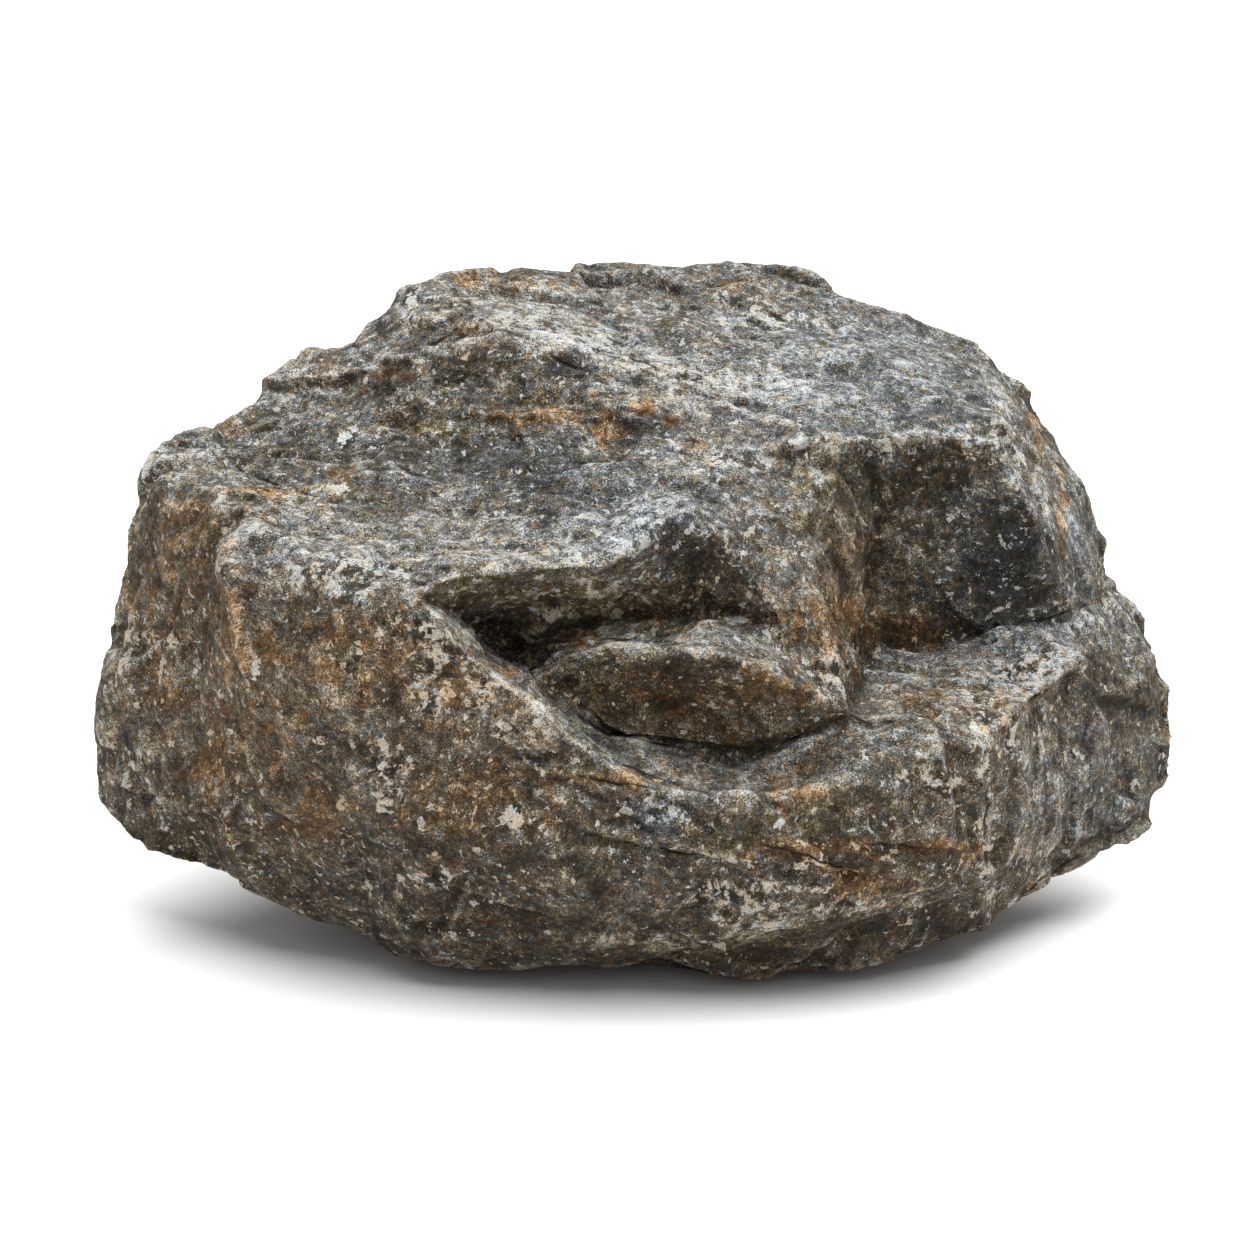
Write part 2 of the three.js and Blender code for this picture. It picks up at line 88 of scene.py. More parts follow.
makeCamera()
print("camera placed")

# The stone's surface. Lengths are in millimetres.
surfaceValues = {
    "creaseAngles": (15.6, 36.4),   # folds of the solid start to stay edges at the first, in degrees, and
                                    # are whole edges from the second
    "creaseMost": 0.85,             # no edge is sharper than this share of a knife's
    "bladeAngles": (85.0, 125.0),   # from the first fold to the second, thin edges are rounded off instead
    "gridSize": 0.7,                # distance between surface points
    "triangleLimit": 196000,
    "evenRounds": 3,                # rounds of averaging that take the grid's own ripples off
    "edgeRounds": 12,               # how wide a band along an edge is made crisper
    "edgeGain": 0.95,
    "edgeMost": 0.8,
    "outwardRounds": 8,               # how broadly the surface's direction is read
    "flakes": {"size": 24.0, "rise": 0.32, "steps": 2.2, "seed": 5},
    "planesBroad": {"size": 19.0, "tilt": 1.9, "blend": 22.0, "seed": 12},
    "planesFine": {"size": 6.0, "tilt": 0.6, "blend": 34.0, "seed": 23},
    "planesTiny": {"size": 3.1, "tilt": 0.17, "blend": 34.0, "seed": 29},
    "hackle": {"size": 4.6, "height": 0.12, "seed": 41},
    "grit": {"size": 2.7, "height": 0.08, "seed": 43},
    "sheetSwells": [(1.0, 1.0), (0.45, 2.3), (0.12, 6.0)],   # how strong and how fine the sheets' rims are
    "sheetRim": 0.72,                 # the share of each thin sheet that is level
    "facetStray": 0.42,               # how far a facet's middle strays in its cell
    "facetStagger": 0.3,              # how much facets stand in or out, against how much they lean
    "calmShare": 0.65,                # how much of the finer relief calm faces lose
    "calmUnder": (0.1, 0.5),          # how far a face looks down to be calm too
    "underShare": 0.9,
    "layering": (0.16, 0.93, 0.33),   # the direction across the stone's layers
    "flatness": 1.9,                  # how much thinner than wide the layers break
    "thinEdges": (0.6, 0.9),          # relief fades where the surface folds back on itself, from 1 for flat
    "boxRoom": 1.3,                   # how close to the sides of its box the surface is eased in
    "restHeight": 1.5,                # relief fades to nothing on the worn flat over this height
}


def mergedCopy(nodeName, name):
    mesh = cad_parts[nodeName].data.copy()
    mesh.name = name
    mesh.materials.clear()
    work = bmesh.new()
    work.from_mesh(mesh)
    bmesh.ops.remove_doubles(work, verts=work.verts, dist=1e-6)
    crease = work.edges.layers.float.new("crease_edge")
    low, high = surfaceValues["creaseAngles"]
    for edge in work.edges:
        fold = math.degrees(edge.calc_face_angle(0.0))
        keen = min(surfaceValues["creaseMost"], max(0.0, (fold - low) / (high - low)))
        edge[crease] = keen * (1 - float(ramp(fold, *surfaceValues["bladeAngles"])))
    work.to_mesh(mesh)
    work.free()
    piece = bpy.data.objects.new(name, mesh)
    bpy.context.collection.objects.link(piece)
    return piece


def finishModifiers(piece):
    graph = bpy.context.evaluated_depsgraph_get()
    mesh = bpy.data.meshes.new_from_object(piece.evaluated_get(graph))
    old = piece.data
    piece.modifiers.clear()
    piece.data = mesh
    mesh.name = piece.name
    bpy.data.meshes.remove(old)


def evenSkin(piece):
    smooth = piece.modifiers.new("round", "SUBSURF")
    smooth.levels = smooth.render_levels = 2
    remesh = piece.modifiers.new("grid", "REMESH")
    remesh.mode = "VOXEL"
    remesh.voxel_size = surfaceValues["gridSize"] / 1000
    finishModifiers(piece)


def readOff(parts, field, width, kind=float):
    flat = np.empty(len(parts) * width, dtype=kind)
    parts.foreach_get(field, flat)
    return flat.reshape(-1, width)


def pointsOf(mesh):
    return readOff(mesh.vertices, "co", 3) * 1000


def normalsOf(mesh):
    return readOff(mesh.vertices, "normal", 3)


def edgesOf(mesh):
    return readOff(mesh.edges, "vertices", 2, np.int64)


def movePoints(mesh, points):
    mesh.vertices.foreach_set("co", (points / 1000).ravel())
    mesh.update()


def spread(values, edges, rounds):
    # Averages values over the surface, a ring of neighbours each round.
    count = len(values)
    weight = np.bincount(edges.ravel(), minlength=count).astype(float)
    columns = values.reshape(count, -1)
    for _ in range(rounds):
        total = np.stack([
            np.bincount(edges[:, 0], column[edges[:, 1]], count)
            + np.bincount(edges[:, 1], column[edges[:, 0]], count)
            for column in columns.T
        ], axis=1)
        columns = 0.5 * columns + 0.5 * total / weight[:, None]
    return columns.reshape(values.shape)


def ramp(values, low, high):
    share = np.clip((values - low) / (high - low), 0.0, 1.0)
    return share * share * (3 - 2 * share)


def dot(left, right):
    return np.einsum("ij,ij->i", left, right)


class Chance:
    # Repeatable random numbers for the cells of a grid.
    def __init__(self, seed):
        numbers = np.random.default_rng(seed)
        self.order = np.concatenate([numbers.permutation(256)] * 2)
        self.table = numbers.uniform(-1, 1, (256, 3))

    def vectors(self, cells, shift=0):
        x, y, z = (cells & 255).T
        number = self.order[self.order[self.order[x] + y] + z]
        return self.table[(number + shift) & 255]


def swells(points, size, seed):
    # Smooth gradient noise, brought to about -1 to 1 at the end.
    chance = Chance(seed)
    places = points / size
    cells = np.floor(places).astype(np.int64)
    inside = places - cells
    fade = inside ** 3 * (inside * (inside * 6 - 15) + 10)
    total = np.zeros(len(points))
    for corner in np.ndindex(2, 2, 2):
        corner = np.array(corner)
        slopes = chance.vectors(cells + corner)
        weight = np.prod(np.where(corner == 1, fade, 1 - fade), axis=1)
        total += weight * dot(slopes, inside - corner)
    return total * 1.6


def brokenPlanes(points, size, tilt, blend, seed):
    # Flat facets, each leaning its own way, that blend where they meet. Millimetres in and out.
    chance = Chance(seed)
    places = points / size
    cells = np.floor(places).astype(np.int64)
    total = np.zeros(len(points))
    weights = np.zeros(len(points))
    for step in np.ndindex(3, 3, 3):
        near = cells + np.array(step) - 1
        offset = places - (near + 0.5 + surfaceValues["facetStray"] * chance.vectors(near))
        weight = np.exp(-blend * dot(offset, offset))
        lean = chance.vectors(near, shift=97)
        total += weight * tilt * (dot(offset, lean) + surfaceValues["facetStagger"] * lean[:, 0])
        weights += weight
    return total / np.maximum(weights, 1e-12)


def flakes(points, size, rise, steps, seed):
    # Thin sheets broken back to ragged rims: slow swells cut into level steps.
    level = np.zeros(len(points))
    for number, (share, finer) in enumerate(surfaceValues["sheetSwells"]):
        level += steps * share * swells(points, size / finer, seed + number)
    whole = np.floor(level)
    return rise * (whole + ramp(level - whole, surfaceValues["sheetRim"], 1.0) - 0.5)


def acrossLayers(points):
    # Stretches places across the layers, so that what is read there comes out thinner that way.
    axis = np.array(Vector(surfaceValues["layering"]).normalized())
    return points + np.outer(points @ axis, axis) * (surfaceValues["flatness"] - 1)


def onSheet(points):
    # Where points in millimetres show on the front drawing, as column and row.
    away, up, eye = viewAxes()
    rays = points / 1000 - np.array(eye)
    shrink = 1000 * viewValues["distance"] / (rays @ np.array(away)) / stepSize
    middle = viewValues["sheetSide"] / 2
    return np.stack([middle + rays[:, 0] * shrink, middle - (rays @ np.array(up)) * shrink], axis=1)


def towardsEye(points, outward):
    # 1 where the surface faces the front drawing, 0 where it turns away.
    rays = np.array(viewAxes()[2]) - points / 1000
    rays /= np.linalg.norm(rays, axis=1)[:, None]
    return ramp(dot(rays, outward), *viewValues["grazing"])


# Cracks, welts, steps, fills and lifts of the front. Each is a height and a breadth in millimetres, and then
# a line on the front drawing as [column, row]. A crack is cut into the stone and a welt stands out of it. A
# step's left side, looking along its line, stands above its right side. A fill brings the floor of a hollow
# nearer to the eye, and a lift moves a ridge line up.
markValues = {
    "wobble": 2.6,              # sheet steps that a line strays
    "wobbleSize": 3.2,
    "wobbleSeeds": (71, 72),
    "taper": (-0.02, 0.18),     # the share of its length over which a mark fades in at each end
    "margin": 4,                # how many of its own breadths a mark can reach
    "stepHalf": 0.7,            # half the width of a step's slope
    "breakSize": 5.0,           # millimetres between the places where a thin line fades out
    "breakSeed": 73,
    "breaks": (-0.35, 0.25),
    "lineReach": 1.4,
    "fillFront": (5.0, 12.0),   # how near the eye, from the stone's middle, a hollow has to be to be filled
    "cracks": [
        (0.6, 0.8, [[516, 653], [540, 646], [560, 641], [600, 638], [650, 640], [680, 631], [690, 620],
            [706, 611]]),
        (1.0, 0.8, [[563, 697], [586, 722], [605, 732], [643, 741], [690, 750], [739, 756], [778, 745],
            [805, 733], [832, 722], [852, 716]]),
        (0.8, 0.8, [[850, 716], [868, 723], [897, 722]]),
        (0.9, 0.9, [[640, 841], [665, 850], [700, 855], [724, 862], [740, 858]]),
        (0.8, 0.9, [[752, 842], [790, 850], [822, 862], [852, 868]]),
        (0.35, 0.9, [[846, 848], [880, 844], [930, 848], [986, 851]]),
        (0.6, 0.8, [[960, 640], [976, 633], [1002, 624], [1040, 620], [1075, 609], [1102, 599]]),
        (0.6, 0.7, [[216, 430], [224, 452], [240, 470], [277, 485], [327, 501]]),
        (0.8, 1.2, [[422, 347], [436, 343], [452, 333], [475, 321]]),
        (0.9, 2.0, [[549, 357], [566, 364], [588, 371]]),
        (0.6, 0.7, [[356, 468], [378, 470], [400, 469], [412, 474], [428, 479]]),
        (0.9, 0.7, [[690, 494], [703, 496], [712, 502], [722, 504]]),
        (0.2, 1.2, [[997, 742], [995, 800], [996, 860], [998, 925]]),
        (0.55, 1.4, [[1140, 818], [1120, 830], [1090, 848], [1060, 865], [1035, 886], [1010, 906]]),
        (0.35, 0.7, [[480, 618], [505, 640], [520, 655], [545, 690], [566, 712]]),
        (0.25, 0.7, [[445, 610], [478, 640], [512, 672], [545, 706], [578, 738]]),
        (0.5, 0.8, [[585, 742], [625, 766], [690, 790], [750, 802]]),
        (0.5, 0.8, [[560, 772], [610, 782], [668, 790]]),
        (0.3, 0.8, [[150, 498], [152, 540], [158, 575], [156, 606]]),
        (0.4, 1.2, [[442, 276], [455, 292], [474, 308]]),
        (0.25, 1.0, [[872, 462], [874, 500], [880, 540], [884, 580]]),
    ],
    "welts": [
        (2.2, 2.6, [[575, 700], [600, 720], [640, 729], [690, 737], [735, 742], [780, 727], [820, 711]]),
        (2.0, 1.5, [[228, 524], [231, 572], [239, 628], [248, 664], [264, 684]]),
        (0.7, 2.0, [[540, 676], [579, 658], [640, 650], [672, 652]]),
        (0.8, 1.6, [[988, 764], [985, 820], [984, 880]]),
    ],
    "fills": [
        (7.5, 4.6, [[500, 634], [520, 632], [545, 628], [580, 622], [620, 616], [660, 609], [700, 604],
            [738, 600]]),
        (3.6, 2.6, [[612, 744], [650, 751], [690, 758], [740, 764], [790, 752], [840, 728]]),
    ],
    "lifts": [
        (2.0, 3.6, [[505, 274], [530, 278], [556, 280], [590, 275]]),
        (5.0, 6.0, [[1000, 965], [1040, 940], [1080, 914], [1120, 888], [1150, 862]]),
    ],
    "steps": [
        (1.5, 5.0, [[430, 590], [464, 578], [500, 573], [541, 570], [612, 569]]),
        (2.2, 5.0, [[424, 880], [448, 888], [470, 896], [505, 906], [548, 914]]),
        (1.2, 5.0, [[404, 412], [424, 432], [441, 447], [456, 438], [474, 448]]),
        (1.9, 6.0, [[560, 826], [600, 836], [640, 845], [700, 856], [735, 861]]),
        (1.7, 6.0, [[540, 768], [575, 782], [610, 800], [640, 820], [662, 838]]),
        (1.2, 5.0, [[590, 772], [640, 790], [690, 806], [716, 834], [760, 844]]),
        (1.6, 6.0, [[750, 844], [795, 854], [838, 872], [880, 876]]),
        (1.3, 5.0, [[846, 848], [880, 844], [930, 848], [986, 851]]),
        (0.8, 5.0, [[350, 345], [376, 364], [398, 367], [424, 365]]),
        (1.1, 7.0, [[440, 325], [474, 322], [530, 335], [575, 352], [600, 372], [665, 386], [740, 397],
            [800, 402]]),
        (0.9, 6.0, [[461, 279], [500, 288], [528, 296], [566, 304], [605, 318], [650, 330]]),
        (0.8, 6.0, [[735, 352], [760, 345], [800, 350], [840, 366], [880, 388]]),
        (1.0, 5.0, [[878, 540], [874, 500], [869, 470], [866, 440]]),
        (0.7, 5.0, [[300, 640], [318, 690], [330, 730], [322, 780]]),
        (0.8, 6.0, [[200, 740], [186, 680], [176, 620], [180, 560]]),
        (0.8, 5.0, [[376, 596], [392, 640], [398, 690], [410, 736]]),
        (2.0, 8.0, [[104, 778], [130, 790], [180, 808], [215, 822]]),
        (2.2, 7.0, [[216, 800], [226, 840], [240, 872], [262, 900]]),
        (2.6, 8.0, [[640, 966], [690, 952], [714, 944], [755, 931], [813, 922], [871, 905], [917, 893],
            [980, 862]]),
        (1.9, 6.0, [[743, 976], [800, 964], [830, 948], [850, 931], [892, 915], [940, 904], [985, 880]]),
        (1.6, 6.0, [[1048, 662], [1075, 676], [1100, 690], [1130, 702], [1165, 716]]),
        (1.4, 6.0, [[219, 740], [223, 789], [219, 822], [234, 861]]),
        (-2.0, 6.0, [[1010, 914], [1035, 886], [1060, 867], [1100, 843], [1148, 812]]),
        (1.0, 6.0, [[1012, 734], [1034, 700], [1066, 672], [1100, 664]]),
        (0.9, 6.0, [[1066, 672], [1086, 700], [1108, 744], [1130, 770]]),
    ],
}


def alongLine(sheet, line):
    # Each point's distance from a line on the sheet, its side of it, and how far along it lies, 0 to 1.
    corners = np.array(line, dtype=float)
    legs = corners[1:] - corners[:-1]
    lengths = np.linalg.norm(legs, axis=1)
    before = np.concatenate([[0.0], np.cumsum(lengths)])
    distance = np.full(len(sheet), np.inf)
    side = np.zeros(len(sheet))
    place = np.zeros(len(sheet))
    for start, leg, length, passed in zip(corners, legs, lengths, before):
        offset = sheet - start
        share = np.clip(offset @ leg / length ** 2, 0.0, 1.0)
        gap = np.linalg.norm(offset - share[:, None] * leg, axis=1)
        nearer = gap < distance
        distance = np.where(nearer, gap, distance)
        turn = leg[0] * offset[:, 1] - leg[1] * offset[:, 0]
        side = np.where(nearer, np.sign(turn), side)
        place = np.where(nearer, (passed + share * length) / before[-1], place)
    return distance, side, place


def strayedSheet(points):
    # The front drawing's places, strayed a little so that no mark runs straight.
    size = markValues["wobbleSize"]
    stray = np.stack([swells(points, size, seed) for seed in markValues["wobbleSeeds"]], axis=1)
    return onSheet(points) + markValues["wobble"] * stray


def nearMark(sheet, breadth, line, facing):
    # The points that a mark can reach, with their distance from it in millimetres, their side of it, and how
    # much of the mark is left there as it tapers to its ends.
    corners = np.array(line)
    margin = markValues["margin"] * breadth / stepSize
    inside = np.all((sheet > corners.min(0) - margin) & (sheet < corners.max(0) + margin), axis=1)
    near = np.flatnonzero(inside & (facing > 0))
    distance, side, place = alongLine(sheet[near], line)
    taper = ramp(np.minimum(place, 1 - place), *markValues["taper"]) * facing[near]
    return near, distance * stepSize, side, taper


def roundedMarks(kind, sheet, facing):
    # How high one kind of mark stands at each point.
    total = np.zeros(len(sheet))
    for height, breadth, line in markValues[kind]:
        near, distance, side, taper = nearMark(sheet, breadth, line, facing)
        total[near] += height * np.exp(-(distance / breadth) ** 2) * taper
    return total


def carveMarks(points, facing):
    # How far the marks of the front move each point, in millimetres out of the stone.
    sheet = strayedSheet(points)
    lift = roundedMarks("welts", sheet, facing) - roundedMarks("cracks", sheet, facing)
    half = markValues["stepHalf"]
    for height, breadth, line in markValues["steps"]:
        near, distance, side, taper = nearMark(sheet, breadth, line, facing)
        edge = ramp(-side * distance, -half, half) - 0.5
        lift[near] += height * edge * np.exp(-distance / breadth) * taper
    return lift


def largeMoves(points):
    # Moves that fill hollows towards the eye and lift the ridge line.
    rays = points / 1000 - np.array(viewAxes()[2])
    depth = 1000 * (rays @ np.array(viewAxes()[0]) - viewValues["distance"])
    front = ramp(-depth, *markValues["fillFront"])
    sheet = onSheet(points)
    nearer = roundedMarks("fills", sheet, front)
    moves = -nearer[:, None] * rays / np.linalg.norm(rays, axis=1)[:, None]
    moves[:, 2] += roundedMarks("lifts", sheet, np.ones(len(points)))
    return moves


def crackLines(points, facing):
    # For lines finer than the mesh: each point's signed distance from the crack that is strongest there, and
    # how strong it is.
    sheet = strayedSheet(points)
    left = ramp(swells(points, markValues["breakSize"], markValues["breakSeed"]), *markValues["breaks"])
    lines = np.zeros((len(points), 3))
    for depth, breadth, line in markValues["cracks"]:
        near, distance, side, taper = nearMark(sheet, breadth, line, facing)
        strength = depth * taper * left[near] * np.exp(-(distance / markValues["lineReach"]) ** 2)
        stronger = strength > lines[near, 1]
        lines[near[stronger], 0] = (side * distance)[stronger]
        lines[near[stronger], 1] = strength[stronger]
    return lines


def crispEdges(points, edges):
    # Pushes edges out and hollows in by a share of what a broad average would take off them.
    even = spread(points, edges, surfaceValues["evenRounds"])
    push = even - spread(even, edges, surfaceValues["edgeRounds"])
    length = np.linalg.norm(push, axis=1)[:, None]
    return even + push * surfaceValues["edgeGain"] / (1 + length / surfaceValues["edgeMost"])


def relieve(piece):
    mesh = piece.data
    edges = edgesOf(mesh)
    points = crispEdges(pointsOf(mesh), edges)
    points += largeMoves(points)
    movePoints(mesh, points)
    outward = spread(normalsOf(mesh), edges, surfaceValues["outwardRounds"])
    agreement = np.linalg.norm(outward, axis=1)
    outward /= agreement[:, None]
    layered = acrossLayers(points)
    facing = towardsEye(points, outward)
    fine = brokenPlanes(layered, **surfaceValues["planesFine"])
    fine += brokenPlanes(layered, **surfaceValues["planesTiny"])
    for name in ("hackle", "grit"):
        layer = surfaceValues[name]
        fine += layer["height"] * swells(points, layer["size"], layer["seed"])
    calm = facing * stainAt(onSheet(points), stainValues["calm"])
    under = ramp(-outward[:, 2], *surfaceValues["calmUnder"])
    calm = np.maximum(calm, surfaceValues["underShare"] * under)
    lift = fine * (1 - surfaceValues["calmShare"] * calm)
    lift += flakes(layered, **surfaceValues["flakes"])
    lift += brokenPlanes(layered, **surfaceValues["planesBroad"])
    lift += carveMarks(points, facing)
    lift *= ramp(points[:, 2], 0.0, surfaceValues["restHeight"])
    lift *= ramp(agreement, *surfaceValues["thinEdges"])
    movePoints(mesh, points + outward * lift[:, None])


def keepInside(piece):
    # Eases the surface in near the sides of the box that the part fills, so that nothing passes them.
    points = pointsOf(piece.data)
    low, high = (np.array(corner) * 1000 for corner in cadBox)
    room = surfaceValues["boxRoom"]
    for axis in range(3):
        values = points[:, axis]
        over = np.maximum(values - (high[axis] - room), 0)
        values = np.where(over > 0, high[axis] - room * np.exp(-over / room), values)
        under = np.maximum(low[axis] + room - values, 0)
        if axis < 2:
            values = np.where(under > 0, low[axis] + room * np.exp(-under / room), values)
        points[:, axis] = np.maximum(values, low[axis])
    movePoints(piece.data, points)


def thinOut(piece):
    # Fewer triangles where the surface is plain, so that the piece stays light.
    faces = sum(len(face.vertices) - 2 for face in piece.data.polygons)
    share = surfaceValues["triangleLimit"] / faces
    if share < 1:
        thin = piece.modifiers.new("thin", "DECIMATE")
        thin.ratio = share
        finishModifiers(piece)
    print("skin:", faces, "triangles before thinning,", len(piece.data.polygons), "after")


# How worn edges and hollows are told apart: by how far they stand out of the surface around them, which is
# read more and less broadly, with the heights in millimetres from none to full. Edges are painted paler, as
# wear and as painted highlight; hollows are painted darker, as painted shade; faces that look up are painted
# lighter and cooler, as painted light from above.
wearValues = {
    "near": {"rounds": 3, "heights": (0.02, 0.16), "share": 0.6},
    "wide": {"rounds": 24, "heights": (0.15, 1.0), "share": 0.7},
    "outwardRounds": 6,
    "topLight": (0.1, 0.9),
}
